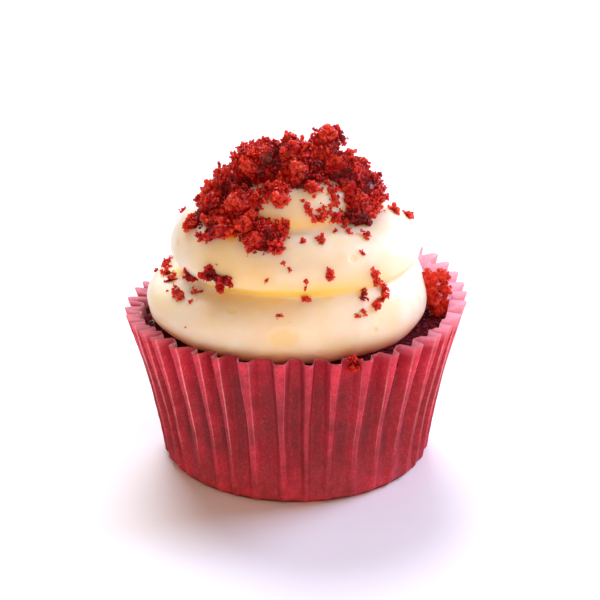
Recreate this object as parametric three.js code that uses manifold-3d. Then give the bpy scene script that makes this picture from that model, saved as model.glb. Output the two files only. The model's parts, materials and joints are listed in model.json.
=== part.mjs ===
// A cupcake in its pleated paper case: the cake, a piped swirl of frosting with loose crumbs stuck
// to it, a heap of cake crumbs over the tip, and a torn lump of cake beside the frosting.
// Millimetres, +Z up. The origin is the centre of the flat base of the case.
import * as THREE from 'three';
import { mergeVertices } from 'three/addons/utils/BufferGeometryUtils.js';
import Module from 'manifold-3d';

const wasm = await Module();
wasm.setup();

const DEG = Math.PI / 180;
const TURN = 2 * Math.PI;

// Clearance kept between pieces that rest against each other.
const GAP = 0.3;

// ---------------------------------------------------------------- driving dimensions

const CASE = {
  baseRadius: 27.8,
  rimRadius: 35,
  lateFlare: 0.42, // share of the flare that comes in the upper part of the wall
  paper: 0.45,
  floorRadius: 27.1,
  heelHeight: 0.2,
  pleats: 40,
  rimPleatDepth: 3,
  basePleatDepth: 0.3,
  pleatGrowth: 0.9, // power of the height by which the pleats deepen
};

// Half widths of a pleat's outer and inner flats, and the fold's thickness, in pleat pitches.
const PLEAT = { crest: 0.14, valley: 0.24, fold: 0.055 };

// Wall height round the case, and how far the pleats wander from even spacing (degrees):
// a constant, then [waves per turn, cosine part, sine part].
const RIM_HEIGHT = { level: 33.64, waves: [[1, 1.48, 0.63], [2, -0.41, 0.95]] };
const PLEAT_DRIFT = { level: 3.7, waves: [[1, 1.1, -0.9], [2, 1, -2.3], [9, -0.37, -0.7], [13, -0.6, 0.25]] };
const PLEAT_UNEVENNESS = { level: 1, waves: [[7, 0.07, 0.05], [11, -0.06, 0.08]] };

// One fold on the left leans over towards its neighbour lower down the wall.
const STRAY_FOLD = { azimuth: 207 * DEG, width: 6 * DEG, lean: 2.6 * DEG };

const CAKE = {
  floor: CASE.paper + GAP,
  footRadius: 25.6,
  shoulder: 0.86, // share of the wall's height at which the cake stops following the pleats
  edgeHeight: 30.5,
  edgeRadius: 29.2,
  domeRise: 0.9,
  flutes: [0, 0.2, 0.8], // corners of one flute, in pleat pitches; the first is its ridge
  fluteShare: 0.5, // how deep the flutes are against the pleats they baked in
  crustRelief: 0.3,
  reliefWaves: [2.3, 0.9], // radians of each wave for a corner of the edge
};

// The frosting is one rope, coiled upwards and inwards. Each station gives the rope's angle round
// the cupcake (degrees), how far out and how high its widest edge is, its half width, how far it
// rises above and sags below that edge, and where the coil is centred along X.
const ROPE_STATIONS = [
  [25, 27.6, 35, 7.4, 7.6, 4.4, -1.6],
  [110, 28.4, 35.2, 8, 5.9, 4.9, -2.1],
  [180, 28.1, 35, 8, 2.9, 3.8, -2.1],
  [270, 28.9, 35, 8, 8.2, 4.7, -2.1],
  [345, 28.6, 34, 8, 11.4, 3.6, -2.1],
  [400, 28.7, 35.9, 8.4, 10.5, 4, -1.8],
  [470, 26.4, 40.4, 9.6, 9.8, 4, -1.2],
  [545, 24.7, 44.7, 10.8, 8.9, 5.6, -0.5],
  [640, 24.8, 45.2, 11, 8.5, 2.6, -0.4],
  [730, 25.4, 46, 11, 8.4, 2.3, -0.4],
  [820, 21.6, 48.6, 10.2, 8, 3.2, -0.2],
  [900, 17.6, 51.6, 9, 7.6, 3.2, 0],
  [990, 16.2, 53.4, 8.2, 7.2, 3, 0],
  [1060, 12.8, 55.6, 7, 6.2, 2.2, 0],
  [1120, 7.2, 58.2, 4.6, 4.2, 2, 0],
  [1165, 2.6, 60.2, 2, 2.4, 1.4, 0],
];
const ROPE = {
  centreY: -1,
  sides: 12,
  step: 15, // degrees of coil for each ring of the rope
  taper: 14, // degrees over which the rope's start rounds off
  bluntness: 0.1, // share of that rounding left flat at the very start
  squareness: { above: 0.95, onCake: 0.36, raised: 0.85 }, // lower is squarer
  raised: [36, 41], // heights between which the underside goes from flat on the cake to round
};

// The upper turns lean a little to +X: their height falls with X, fully above LEAN.full.
const LEAN = { slope: 0.031, from: 31, full: 42 };

// Solid middle of the frosting inside the creases between the turns; its profile is
// [radius, height] from deep in the cake up to the tip.
const CORE = {
  centreX: -1,
  columns: 20,
  profile: [[0, 20], [22, 20], [22, 31], [21.5, 41], [14, 50.5], [7, 56], [0, 59.5]],
};

// Loose crumbs stuck to the frosting: [angle along the rope, angle up its section, size].
const LOOSE_CRUMBS = [
  // lower turn, left: a scatter on its shoulder and a few in the crease
  [161, 47, 1.8], [170, 60, 2], [181, 66, 2], [187, 70, 1.4], [187, 98, 1.8], [192, 104, 1.4],
  [211, 59, 2], [216, 55, 1.6], [219, 75, 1.5],
  // lower turn, front and right: single crumbs, then a trail that climbs to the crease
  [279, 64, 1.5], [306, 52, 1.6], [310, 38, 1.5], [314, 45, 1.8], [317, 55, 1.7], [319, 70, 1.6],
  [323, 85, 1.7],
  // middle turn
  [588, -5, 2.4], [592, 1, 2.8], [597, -1, 2.2], [590, 7, 1.4], [646, 17, 1.8], [646, 66, 1.7],
  [645, 60, 1.4], [674, 60, 1.6], [716, 62, 1.8], [722, 44, 1.6], [725, 38, 1.6],
  // upper turn
  [998, 39, 1.5], [1000, 29, 1.5], [1003, 20, 1.7], [1007, 16, 1.6], [1010, 18, 1.4], [1021, 31, 1.6],
  // round the back
  [60, 50, 1.8], [95, 38, 1.4], [150, 52, 2], [480, 50, 1.8], [520, 35, 1.6], [848, 30, 1.4],
];

// The crumb heap's mounds: [x, y, z, half length in x, y, z].
const MOUNDS = [
  [-5.5, -3, 62.6, 6, 7, 5],
  [1.8, -4.6, 61.2, 6, 7, 5],
  [6.2, -1.5, 65.8, 3.3, 3.4, 4.9],
  [9, -3, 60.2, 5.6, 6.6, 4.6],
  [13.4, -3.5, 57, 4.2, 6, 4.8],
  [12.2, -9.8, 54.6, 3.8, 4, 4],
  [-11.2, -4, 58.4, 5.2, 7, 4],
  [-15.6, -5, 54.8, 4.2, 6.6, 3.8],
  [-17.8, -9, 52, 3.6, 4.6, 2.8],
  [-14, -13.6, 53, 4.2, 4, 2.8],
  [-9, -11.6, 56.8, 5, 4.6, 3.4],
  [-8.6, -15.6, 55, 3, 3.4, 2.6],
  [-6, -18.6, 52.6, 5, 3.6, 3.6],
  [1, 5.5, 59.4, 8.4, 6.6, 4.6],
  [-9.5, 7, 56, 6, 5.4, 4],
  [9.5, 6, 56, 5.6, 5.4, 4.2],
  [-9.8, -4, 64.4, 2.6, 3, 2.4],
  [-1.2, -3.5, 66.2, 3.2, 3, 2.2],
  [-3.1, -12.2, 59.6, 3.8, 2.4, 2.2],
  [1.6, -11.4, 60.8, 4.4, 2, 1.6],
  [7, -10.2, 58, 2, 3.2, 4],
  [-16.6, -15.2, 51.2, 3.4, 2.4, 2],
  [-5.6, -21.2, 52.2, 3.4, 2.2, 2],
];
const HEAP = { relief: 0.14, detail: 2, lumps: 8, lumpSize: [2.8, 4.2], spacing: 3.4, seed: 11 };

// The torn lump of cake between the frosting and the case: [x, y, z, half length in x, y, z].
const CHUNK_MOUNDS = [
  [27.3, -2, 36.9, 1.6, 1.7, 2.9],
  [28.4, -2.2, 33.4, 1.7, 1.9, 2.4],
  [30.1, 0.9, 36.8, 1.5, 1.6, 2],
  [30.6, -0.8, 33.8, 1.4, 2.2, 2.2],
];
const CHUNK = { relief: 0.16, detail: 1, lumps: 4, lumpSize: [1.6, 2.4], spacing: 1.6, seed: 5 };

// Shape of one crumb: how much it is stretched sideways and upwards, how far each corner is pushed
// in or out, and how far a loose one stands out of the frosting, all as shares of its size.
const CRUMB = { sideways: [0.75, 1.1], upwards: [0.7, 1], corner: [0.72, 1.2], stand: 0.12, seed: 23 };

// A crumb stuck on the rim of the case.
const RIM_CRUMB = { azimuth: 289.8 * DEG, radius: 33, height: 32.2, size: 3.4, seed: 3 };

const COLOURS = {
  paper: 0xc93a4c,
  cake: 0x3a0f14,
  frosting: 0xf0dcc0,
  crumbs: 0xa3262a,
};

// ---------------------------------------------------------------- shared helpers

// A constant plus cosine and sine waves round the cupcake.
function wavy({ level, waves }, angle) {
  const terms = waves.map(([n, c, s]) => c * Math.cos(n * angle) + s * Math.sin(n * angle));
  return terms.reduce((sum, term) => sum + term, level);
}

// Smooth value of each column of a table of stations, whose first column is the position.
function alongStations(stations, position) {
  const last = stations.length - 1;
  let i = stations.findIndex((station) => station[0] > position) - 1;
  i = position >= stations[last][0] ? last - 1 : Math.max(i, 0);
  const [a, b] = [stations[i], stations[i + 1]];
  const before = stations[Math.max(i - 1, 0)];
  const after = stations[Math.min(i + 2, last)];
  const span = b[0] - a[0];
  const t = THREE.MathUtils.clamp((position - a[0]) / span, 0, 1);
  return a.slice(1).map((start, k) => {
    const end = b[k + 1];
    const slopeIn = i === 0 ? 0 : (end - before[k + 1]) / (b[0] - before[0]) * span;
    const slopeOut = i + 1 === last ? 0 : (after[k + 1] - start) / (after[0] - a[0]) * span;
    const t2 = t * t;
    const t3 = t2 * t;
    return start * (2 * t3 - 3 * t2 + 1) + slopeIn * (t3 - 2 * t2 + t)
      + end * (3 * t2 - 2 * t3) + slopeOut * (t3 - t2);
  });
}

// A closed body of revolution whose rows are functions from a column number to a point.
function revolve(rows, columns) {
  const profile = rows.map((row, i) => new THREE.Vector2(1, i));
  const geometry = new THREE.LatheGeometry(profile, columns);
  const position = geometry.getAttribute('position');
  for (let i = 0; i < position.count; i++) {
    const column = Math.floor(i / rows.length) % columns;
    const point = rows[i % rows.length](column);
    position.setXYZ(i, point.x, point.y, point.z);
  }
  return geometry;
}

// A cylinder of many rings, bent by a function of (across, up, along the length from 0 to 1).
function bentCylinder(sides, rings, place) {
  const geometry = new THREE.CylinderGeometry(1, 1, 1, sides, rings);
  const position = geometry.getAttribute('position');
  for (let i = 0; i < position.count; i++) {
    const point = place(position.getX(i), position.getZ(i), position.getY(i) + 0.5);
    position.setXYZ(i, point.x, point.y, point.z);
  }
  return geometry;
}

function polar(radius, angle, z) {
  return new THREE.Vector3(radius * Math.cos(angle), radius * Math.sin(angle), z);
}

// The same surface with one shared vertex at each corner.
function withoutSeams(geometry) {
  return mergeVertices(geometry.deleteAttribute('normal').deleteAttribute('uv'), 1e-4);
}

function toSolid(geometry) {
  const merged = withoutSeams(geometry);
  return new wasm.Manifold(new wasm.Mesh({
    numProp: 3,
    vertProperties: merged.getAttribute('position').array,
    triVerts: new Uint32Array(merged.index.array),
  }));
}

function toGeometry(solid) {
  const mesh = solid.getMesh();
  const geometry = new THREE.BufferGeometry();
  geometry.setAttribute('position', new THREE.BufferAttribute(mesh.vertProperties, 3));
  geometry.setIndex(new THREE.BufferAttribute(mesh.triVerts, 1));
  geometry.computeVertexNormals();
  return geometry;
}

function joined(solids) {
  return solids.reduce((sum, solid) => sum.add(solid));
}

// The largest separate body of a solid, without the scraps a cut leaves.
function largestBody(solid) {
  const bodies = solid.decompose();
  return bodies.reduce((best, body) => (body.volume() > best.volume() ? body : best));
}

function random() {
  return THREE.MathUtils.seededRandom();
}

function randomBetween([low, high]) {
  return low + (high - low) * random();
}

// ---------------------------------------------------------------- paper case

function caseRadius(t) {
  const late = t + CASE.lateFlare * t * (t - 1);
  return CASE.baseRadius + (CASE.rimRadius - CASE.baseRadius) * late;
}

function pleatDepthAt(pleat, t) {
  const growth = t ** CASE.pleatGrowth;
  const even = CASE.basePleatDepth + (CASE.rimPleatDepth - CASE.basePleatDepth) * growth;
  return even * wavy(PLEAT_UNEVENNESS, TURN * pleat / CASE.pleats);
}

// Direction of a place given in pleats, at a share t of the wall's height.
function pleatAngle(pleat, t) {
  const even = TURN * pleat / CASE.pleats;
  const angle = even + DEG * wavy(PLEAT_DRIFT, even);
  const away = (angle - STRAY_FOLD.azimuth) / STRAY_FOLD.width;
  return angle + STRAY_FOLD.lean * (1 - t) * Math.exp(-away * away);
}

function rimHeight(angle) {
  return wavy(RIM_HEIGHT, angle);
}

// Four corners for each pleat: the two edges of its outer flat, then of its inner flat.
function pleatCorners(fold) {
  const crest = PLEAT.crest - fold;
  const valley = PLEAT.valley + fold;
  return [[-crest, 1], [crest, 1], [0.5 - valley, 0], [0.5 + valley, 0]];
}

function pleatedRow(t, inset, fold) {
  const corners = pleatCorners(fold);
  return (column) => {
    const pleat = Math.floor(column / corners.length);
    const [offset, out] = corners[column % corners.length];
    const angle = pleatAngle(pleat + offset, t);
    const depth = pleatDepthAt(pleat, t) * (1 - out);
    return polar(caseRadius(t) - inset - depth, angle, t * rimHeight(angle));
  };
}

function paperCase() {
  const cornersEach = pleatCorners(0).length;
  const roundRow = (radius, z) => (column) => polar(radius, pleatAngle(column / cornersEach, 0), z);
  const heel = (column) => {
    const foot = pleatedRow(0, 0, 0)(column);
    return foot.setZ(CASE.heelHeight);
  };
  const outside = [0.25, 0.62, 1].map((t) => pleatedRow(t, 0, 0));
  const inside = [1, 0.55, 0.12].map((t) => pleatedRow(t, CASE.paper, PLEAT.fold));
  const wall = toSolid(revolve([
    roundRow(0, 0),
    roundRow(CASE.floorRadius, 0),
    heel,
    ...outside,
    ...inside,
    roundRow(CASE.floorRadius - CASE.paper, CASE.paper),
    roundRow(0, CASE.paper),
  ], CASE.pleats * cornersEach));
  THREE.MathUtils.seededRandom(RIM_CRUMB.seed);
  const centre = polar(RIM_CRUMB.radius, RIM_CRUMB.azimuth, RIM_CRUMB.height);
  return largestBody(wall.add(crumb(centre, RIM_CRUMB.size)));
}

// Space inside the pleats, less the clearance, from half way up to well above the rim.
function insideCase() {
  const wall = (t, share) => (pleat) => {
    const radius = caseRadius(t) - CASE.paper - GAP - pleatDepthAt(pleat, t);
    const angle = pleatAngle(pleat, t);
    return polar(radius, angle, share * rimHeight(angle));
  };
  const axis = (share) => () => polar(0, 0, share * RIM_HEIGHT.level);
  return toSolid(revolve([axis(0.5), wall(0.5, 0.5), wall(1, 1), wall(1, 1.4), axis(1.4)], CASE.pleats));
}

// ---------------------------------------------------------------- cake

// Height of the cake's top at a distance from its axis.
function cakeTop(radius) {
  return CAKE.edgeHeight + CAKE.domeRise * Math.max(0, 1 - (radius / CAKE.edgeRadius) ** 2);
}

// Small bumps of the crust round the edge that shows.
function crustBump(column) {
  const [quick, slow] = CAKE.reliefWaves;
  return CAKE.crustRelief * Math.sin(column * quick) * Math.cos(column * slow);
}

function cake() {
  const corners = CAKE.flutes.length;
  const pleatOf = (column) => Math.floor(column / corners);
  const angleOf = (column, t) => pleatAngle(pleatOf(column) + CAKE.flutes[column % corners], t);
  const wallRow = (t) => (column) => {
    const depth = pleatDepthAt(pleatOf(column), t);
    const out = column % corners === 0 ? depth * CAKE.fluteShare : 0;
    const angle = angleOf(column, t);
    return polar(caseRadius(t) - CASE.paper - GAP - depth + out, angle, t * rimHeight(angle));
  };
  const edge = (column) => polar(CAKE.edgeRadius, angleOf(column, 1), CAKE.edgeHeight + crustBump(column));
  const round = (radius, z) => (column) => polar(radius, angleOf(column, 0), z);
  return toSolid(revolve([
    round(0, CAKE.floor),
    round(CAKE.footRadius, CAKE.floor),
    wallRow(0.45),
    wallRow(CAKE.shoulder),
    edge,
    round(0, cakeTop(0)),
  ], CASE.pleats * corners));
}

// Space the cake takes from whatever lies on it, with the clearance.
function cakeClearance() {
  const columns = 24;
  const foot = CAKE.edgeHeight / 3;
  const over = CAKE.crustRelief + GAP;
  const row = (radius, z) => (column) => polar(radius, TURN * column / columns, z);
  return toSolid(revolve([
    row(0, foot),
    row(CASE.rimRadius, foot),
    row(CASE.rimRadius, CAKE.edgeHeight + over),
    row(CAKE.edgeRadius, CAKE.edgeHeight + over),
    row(0, cakeTop(0) + over),
  ], columns));
}

// ---------------------------------------------------------------- frosting

function leanAt(z) {
  return LEAN.slope * THREE.MathUtils.smoothstep(z, LEAN.from, LEAN.full);
}

// A point of the rope's skin at an angle of the coil (degrees), from its section's unit circle.
function ropePoint(angle, across, up, grow = 0) {
  const [reach, height, halfWidth, above, below, centreX] = alongStations(ROPE_STATIONS, angle);
  const start = ROPE_STATIONS[0][0];
  const end = THREE.MathUtils.clamp((angle - start) / ROPE.taper, ROPE.bluntness, 1);
  const round = Math.sqrt(1 - (1 - end) ** 2);
  const { above: over, onCake, raised } = ROPE.squareness;
  const under = THREE.MathUtils.lerp(onCake, raised, THREE.MathUtils.smoothstep(height, ...ROPE.raised));
  const power = up > 0 ? over : under;
  const squared = Math.sign(across) * Math.abs(across) ** power;
  const radius = reach - halfWidth + (halfWidth + grow) * squared * round;
  const z = height + ((up > 0 ? above : below) + grow) * up * round;
  const point = polar(radius, angle * DEG, z);
  point.x += centreX;
  point.y += ROPE.centreY;
  point.z -= leanAt(z) * point.x;
  return point;
}

function rope(grow) {
  const first = ROPE_STATIONS[0][0];
  const last = ROPE_STATIONS[ROPE_STATIONS.length - 1][0];
  const rings = Math.round((last - first) / ROPE.step);
  return toSolid(bentCylinder(ROPE.sides, rings, (across, up, along) => {
    const angle = first + (last - first) * along;
    return ropePoint(angle, across, up, grow);
  }));
}

function frostingCore(grow) {
  const rows = CORE.profile.map(([radius, z]) => (column) => {
    const skin = radius > 0 ? radius + grow : 0;
    const point = polar(skin, TURN * column / CORE.columns, z + grow);
    const lean = leanAt(z);
    return point.add(new THREE.Vector3(CORE.centreX, ROPE.centreY, -lean * point.x));
  });
  return toSolid(revolve(rows, CORE.columns));
}

function bareFrosting(grow) {
  return rope(grow).add(frostingCore(grow)).subtract(cakeClearance());
}

// An uneven crumb: a ball of twenty faces with its corners pushed in and out.
function crumb(centre, size, grow = 0) {
  const ball = withoutSeams(new THREE.IcosahedronGeometry(1, 0));
  const position = ball.getAttribute('position');
  const stretch = new THREE.Vector3(...[CRUMB.sideways, CRUMB.sideways, CRUMB.upwards].map(randomBetween));
  const turn = new THREE.Euler(random() * TURN, random() * TURN, random() * TURN);
  for (let i = 0; i < position.count; i++) {
    const corner = new THREE.Vector3().fromBufferAttribute(position, i);
    corner.multiplyScalar(randomBetween(CRUMB.corner) * size / 2 + grow).multiply(stretch);
    corner.applyEuler(turn).add(centre);
    position.setXYZ(i, corner.x, corner.y, corner.z);
  }
  return toSolid(ball);
}

function looseCrumbs(grow) {
  THREE.MathUtils.seededRandom(CRUMB.seed);
  return LOOSE_CRUMBS.map(([angle, rise, size]) => {
    const centre = ropePoint(angle, Math.cos(rise * DEG), Math.sin(rise * DEG), size * CRUMB.stand);
    return crumb(centre, size, grow);
  });
}

function frosting() {
  return largestBody(joined([bareFrosting(0), ...looseCrumbs(0)]));
}

// ---------------------------------------------------------------- crumb heap and torn lump

// A mound: a ball pushed in and out all over by seeded draws, so that it has crumb-sized relief.
function mound([x, y, z, a, b, c], { relief, detail }) {
  const ball = withoutSeams(new THREE.IcosahedronGeometry(1, detail));
  const position = ball.getAttribute('position');
  for (let i = 0; i < position.count; i++) {
    const corner = new THREE.Vector3().fromBufferAttribute(position, i);
    corner.multiplyScalar(1 + relief * (2 * random() - 1));
    position.setXYZ(i, corner.x, corner.y, corner.z);
  }
  return toSolid(ball.scale(a, b, c).translate(x, y, z));
}

// How deep a point is in a mound: below 1 inside it.
function depthIn([x, y, z, a, b, c], point) {
  return Math.hypot((point.x - x) / a, (point.y - y) / b, (point.z - z) / c);
}

// How deep a point is in the turns of the rope: below 1 inside one of them.
function depthInRope(point) {
  const azimuth = Math.atan2(point.y - ROPE.centreY, point.x) / DEG;
  const [first, last] = [ROPE_STATIONS[0][0], ROPE_STATIONS[ROPE_STATIONS.length - 1][0]];
  let depth = Infinity;
  for (let angle = azimuth; angle < last; angle += 360) {
    if (angle < first) continue;
    const [reach, height, halfWidth, above, below, centreX] = alongStations(ROPE_STATIONS, angle);
    const radius = Math.hypot(point.x - centreX, point.y - ROPE.centreY);
    const across = (radius - reach + halfWidth) / halfWidth;
    const up = (point.z - height) / (point.z > height ? above : below);
    depth = Math.min(depth, Math.hypot(across, up));
  }
  return depth;
}

// Lumps spread over the mounds' outside by random draws, kept apart from each other and out of
// the mounds and the frosting.
function lumpsOn(mounds, { lumps, lumpSize, spacing }) {
  const centres = [];
  for (let tries = 0; centres.length < lumps && tries < lumps * 60; tries++) {
    const [x, y, z, a, b, c] = mounds[Math.floor(random() * mounds.length)];
    const direction = new THREE.Vector3(random() - 0.5, random() - 0.5, random() - 0.4).normalize();
    const point = direction.multiply(new THREE.Vector3(a, b, c)).add(new THREE.Vector3(x, y, z));
    const bare = mounds.every((other) => depthIn(other, point) > 0.95) && depthInRope(point) > 1;
    if (bare && centres.every((centre) => centre.distanceTo(point) > spacing)) centres.push(point);
  }
  return centres.map((centre) => crumb(centre, randomBetween(lumpSize)));
}

function pile(mounds, settings) {
  THREE.MathUtils.seededRandom(settings.seed);
  return joined([...mounds.map((sizes) => mound(sizes, settings)), ...lumpsOn(mounds, settings)]);
}

function crumbHeap() {
  const clearance = joined([bareFrosting(GAP), ...looseCrumbs(GAP)]);
  return largestBody(pile(MOUNDS, HEAP).subtract(clearance));
}

function rimChunk() {
  const chunk = pile(CHUNK_MOUNDS, CHUNK).intersect(insideCase());
  return largestBody(chunk.subtract(bareFrosting(GAP)).subtract(cakeClearance()));
}

// ---------------------------------------------------------------- the cupcake

function piece(name, solid, color, roughness) {
  const material = new THREE.MeshStandardMaterial({ color, roughness, metalness: 0 });
  const mesh = new THREE.Mesh(toGeometry(solid), material);
  mesh.name = name;
  return mesh;
}

const cupcake = new THREE.Group();
cupcake.add(piece('paper_case', paperCase(), COLOURS.paper, 0.75));
cupcake.add(piece('cake', cake(), COLOURS.cake, 0.5));
cupcake.add(piece('frosting', frosting(), COLOURS.frosting, 0.4));
cupcake.add(piece('crumb_heap', crumbHeap(), COLOURS.crumbs, 0.85));
cupcake.add(piece('rim_chunk', rimChunk(), COLOURS.crumbs, 0.85));

export default cupcake;
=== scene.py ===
"""A cupcake in its pleated paper case, with piped frosting and red sponge crumbs.

The piped rope, the pleats and the crumb piles are worked out from named sizes in millimetres, in
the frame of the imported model: origin at the centre of the case's base, +Z up, -Y to the front.
"""

import json
import logging
import math
from collections.abc import Iterable, Mapping, Sequence
from dataclasses import dataclass
from enum import Enum

import bmesh
import bpy
import numpy as np
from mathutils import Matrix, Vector, noise

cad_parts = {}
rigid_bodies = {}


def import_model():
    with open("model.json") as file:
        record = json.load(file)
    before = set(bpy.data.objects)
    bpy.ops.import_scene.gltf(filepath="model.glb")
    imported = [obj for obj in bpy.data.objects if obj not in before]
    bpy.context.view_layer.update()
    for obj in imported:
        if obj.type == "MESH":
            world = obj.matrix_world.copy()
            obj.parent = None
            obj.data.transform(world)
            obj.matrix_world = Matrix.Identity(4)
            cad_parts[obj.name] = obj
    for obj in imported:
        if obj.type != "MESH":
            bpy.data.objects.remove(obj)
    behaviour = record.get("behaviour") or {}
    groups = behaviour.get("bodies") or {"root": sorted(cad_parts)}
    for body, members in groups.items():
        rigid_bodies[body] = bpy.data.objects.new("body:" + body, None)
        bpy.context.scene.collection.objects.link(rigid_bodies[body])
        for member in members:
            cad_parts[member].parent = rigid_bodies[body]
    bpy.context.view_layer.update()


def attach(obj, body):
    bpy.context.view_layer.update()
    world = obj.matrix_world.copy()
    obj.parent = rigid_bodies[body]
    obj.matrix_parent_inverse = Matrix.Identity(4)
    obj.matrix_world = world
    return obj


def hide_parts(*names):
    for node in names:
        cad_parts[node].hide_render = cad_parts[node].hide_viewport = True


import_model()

log = logging.getLogger("cupcake")

MM = 0.001
BODY = "root"
TURN = 2 * math.pi

MOIST_IOR = 1.45  # typical of fat, syrup and paper fibre

# settings of the nodes that map a number smoothly and that mix two colours
SMOOTH_RANGE = {"interpolation_type": "SMOOTHSTEP"}
COLOUR_MIX = {"data_type": "RGBA"}


# ---------------------------------------------------------------- shared helpers


def linear(hex_value: int, alpha: float = 1.0) -> tuple[float, float, float, float]:
    """Turns an sRGB hex colour into linear values.

    Args:
        hex_value: The colour as 0xRRGGBB.
        alpha: The fourth value.

    Returns:
        Red, green, blue and alpha, linear.
    """
    shares = [((hex_value >> shift) & 255) / 255 for shift in (16, 8, 0)]
    red, green, blue = (s / 12.92 if s <= 0.04045 else ((s + 0.055) / 1.055) ** 2.4 for s in shares)
    return red, green, blue, alpha


def add_node(
    tree: bpy.types.NodeTree,
    kind: str,
    inputs: Mapping[str | int, object] | Sequence[object] = (),
    **settings: object,
) -> bpy.types.Node:
    """Adds a node with its settings and its inputs.

    Args:
        tree: The node tree.
        kind: The node's type name.
        inputs: A value, or a socket to link, for inputs by name or number, or in their order.
        **settings: The node's own settings.

    Returns:
        The new node.
    """
    node = tree.nodes.new(kind)
    for name, value in settings.items():
        setattr(node, name, value)
    given = inputs if isinstance(inputs, Mapping) else dict(enumerate(inputs))
    for key, part in given.items():
        if isinstance(part, bpy.types.NodeSocket):
            tree.links.new(part, node.inputs[key])
        else:
            node.inputs[key].default_value = part
    return node


def smoothstep(low: float, high: float, value: np.ndarray) -> np.ndarray:
    """Rises smoothly from 0 at low to 1 at high."""
    share = np.clip((value - low) / (high - low), 0, 1)
    return share * share * (3 - 2 * share)


def noise_at(points: np.ndarray, size: float, seed: float = 0.0) -> np.ndarray:
    """Gives smooth noise from -1 to 1 at each point.

    Args:
        points: Places in millimetres, one row each.
        size: Size of the noise's features in millimetres.
        seed: Shift that gives another pattern.

    Returns:
        One value for each point.
    """
    shift = Vector((seed, -seed, 0.5 * seed))
    return np.array([noise.noise(Vector(p) / size + shift) for p in points])


def noise_grid(places: np.ndarray, size: float, seed: float = 0.0) -> np.ndarray:
    """Gives smooth noise over a grid of places on a plane, in the grid's own form."""
    flat = places.reshape(-1, 2)
    return noise_at(np.column_stack([flat, np.zeros(len(flat))]), size, seed).reshape(places.shape[:-1])


def knobs_at(points: np.ndarray, size: float, seed: float = 0.0) -> np.ndarray:
    """Gives round knobs packed side by side: 1 at a knob's top, towards 0 in the cracks.

    Args:
        points: Places in millimetres, one row each.
        size: Distance between knobs in millimetres.
        seed: Shift that gives another pattern.

    Returns:
        One value for each point.
    """
    shift = Vector((seed, 0.7 * seed, -seed))
    nearest = np.array([noise.voronoi(Vector(p) / size + shift)[0][0] for p in points])
    return 1 - np.clip(nearest, 0, 1) ** 2


def mesh_object(
    name: str,
    vertices: np.ndarray,
    faces: Iterable[Sequence[int]],
    material: bpy.types.Material | None = None,
) -> bpy.types.Object:
    """Makes a smooth-shaded mesh object from vertices in millimetres.

    Args:
        name: Name of the object.
        vertices: One row for each vertex, in millimetres.
        faces: Vertex numbers of each face, anticlockwise from outside.
        material: Its material.

    Returns:
        The object, linked to the scene.
    """
    mesh = bpy.data.meshes.new(name)
    mesh.from_pydata((np.asarray(vertices) * MM).tolist(), [], [tuple(f) for f in faces])
    mesh.validate()
    return object_of(name, mesh, material)


def object_of(
    name: str, mesh: bpy.types.Mesh, material: bpy.types.Material | None = None
) -> bpy.types.Object:
    """Links a mesh to the scene as a smooth-shaded object with one material.

    Args:
        name: Name of the object.
        mesh: Its mesh.
        material: Its material, or None for a mesh that is used up later.

    Returns:
        The object.
    """
    mesh.shade_smooth()
    if material is not None:
        mesh.materials.clear()
        mesh.materials.append(material)
    piece = bpy.data.objects.new(name, mesh)
    bpy.context.scene.collection.objects.link(piece)
    return piece


def baked(source: bpy.types.Object, name: str, material: bpy.types.Material) -> bpy.types.Object:
    """Turns an object and its modifiers into a plain mesh object, and removes the source.

    Args:
        source: The object with its modifiers.
        name: Name of the new object.
        material: The new object's material.

    Returns:
        The new object.
    """
    graph = bpy.context.evaluated_depsgraph_get()
    mesh = bpy.data.meshes.new_from_object(source.evaluated_get(graph))
    mesh.name = name
    bpy.data.objects.remove(source)
    return object_of(name, mesh, material)


def coordinates(piece: bpy.types.Object) -> np.ndarray:
    """Gives a mesh object's vertices in millimetres, one row each.

    Args:
        piece: The object.

    Returns:
        Their places.
    """
    flat = np.empty(len(piece.data.vertices) * 3, np.float32)
    piece.data.vertices.foreach_get("co", flat)
    return flat.reshape(-1, 3).astype(float) / MM


def set_coordinates(piece: bpy.types.Object, vertices: np.ndarray) -> None:
    """Puts a mesh object's vertices at the given places in millimetres."""
    piece.data.vertices.foreach_set("co", (vertices * MM).astype(np.float32).ravel())
    piece.data.update()


def normals(piece: bpy.types.Object) -> np.ndarray:
    """Gives a mesh object's vertex normals, one row each.

    Args:
        piece: The object.

    Returns:
        Directions of length 1.
    """
    flat = np.empty(len(piece.data.vertices) * 3, np.float32)
    piece.data.vertex_normals.foreach_get("vector", flat)
    return flat.reshape(-1, 3).astype(float)


def set_attribute(piece: bpy.types.Object, name: str, values: np.ndarray) -> None:
    """Stores one number for each vertex under a name that materials read."""
    attribute = piece.data.attributes.new(name, "FLOAT", "POINT")
    attribute.data.foreach_set("value", np.asarray(values, np.float32))


def merged(pieces: Sequence[bpy.types.Object], name: str) -> bpy.types.Object:
    """Copies several mesh objects into one new object.

    Args:
        pieces: The objects, which stay.
        name: Name of the new object.

    Returns:
        The new object.
    """
    form = bmesh.new()
    for piece in pieces:
        form.from_mesh(piece.data)
    mesh = bpy.data.meshes.new(name)
    form.to_mesh(mesh)
    form.free()
    return object_of(name, mesh)


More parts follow.
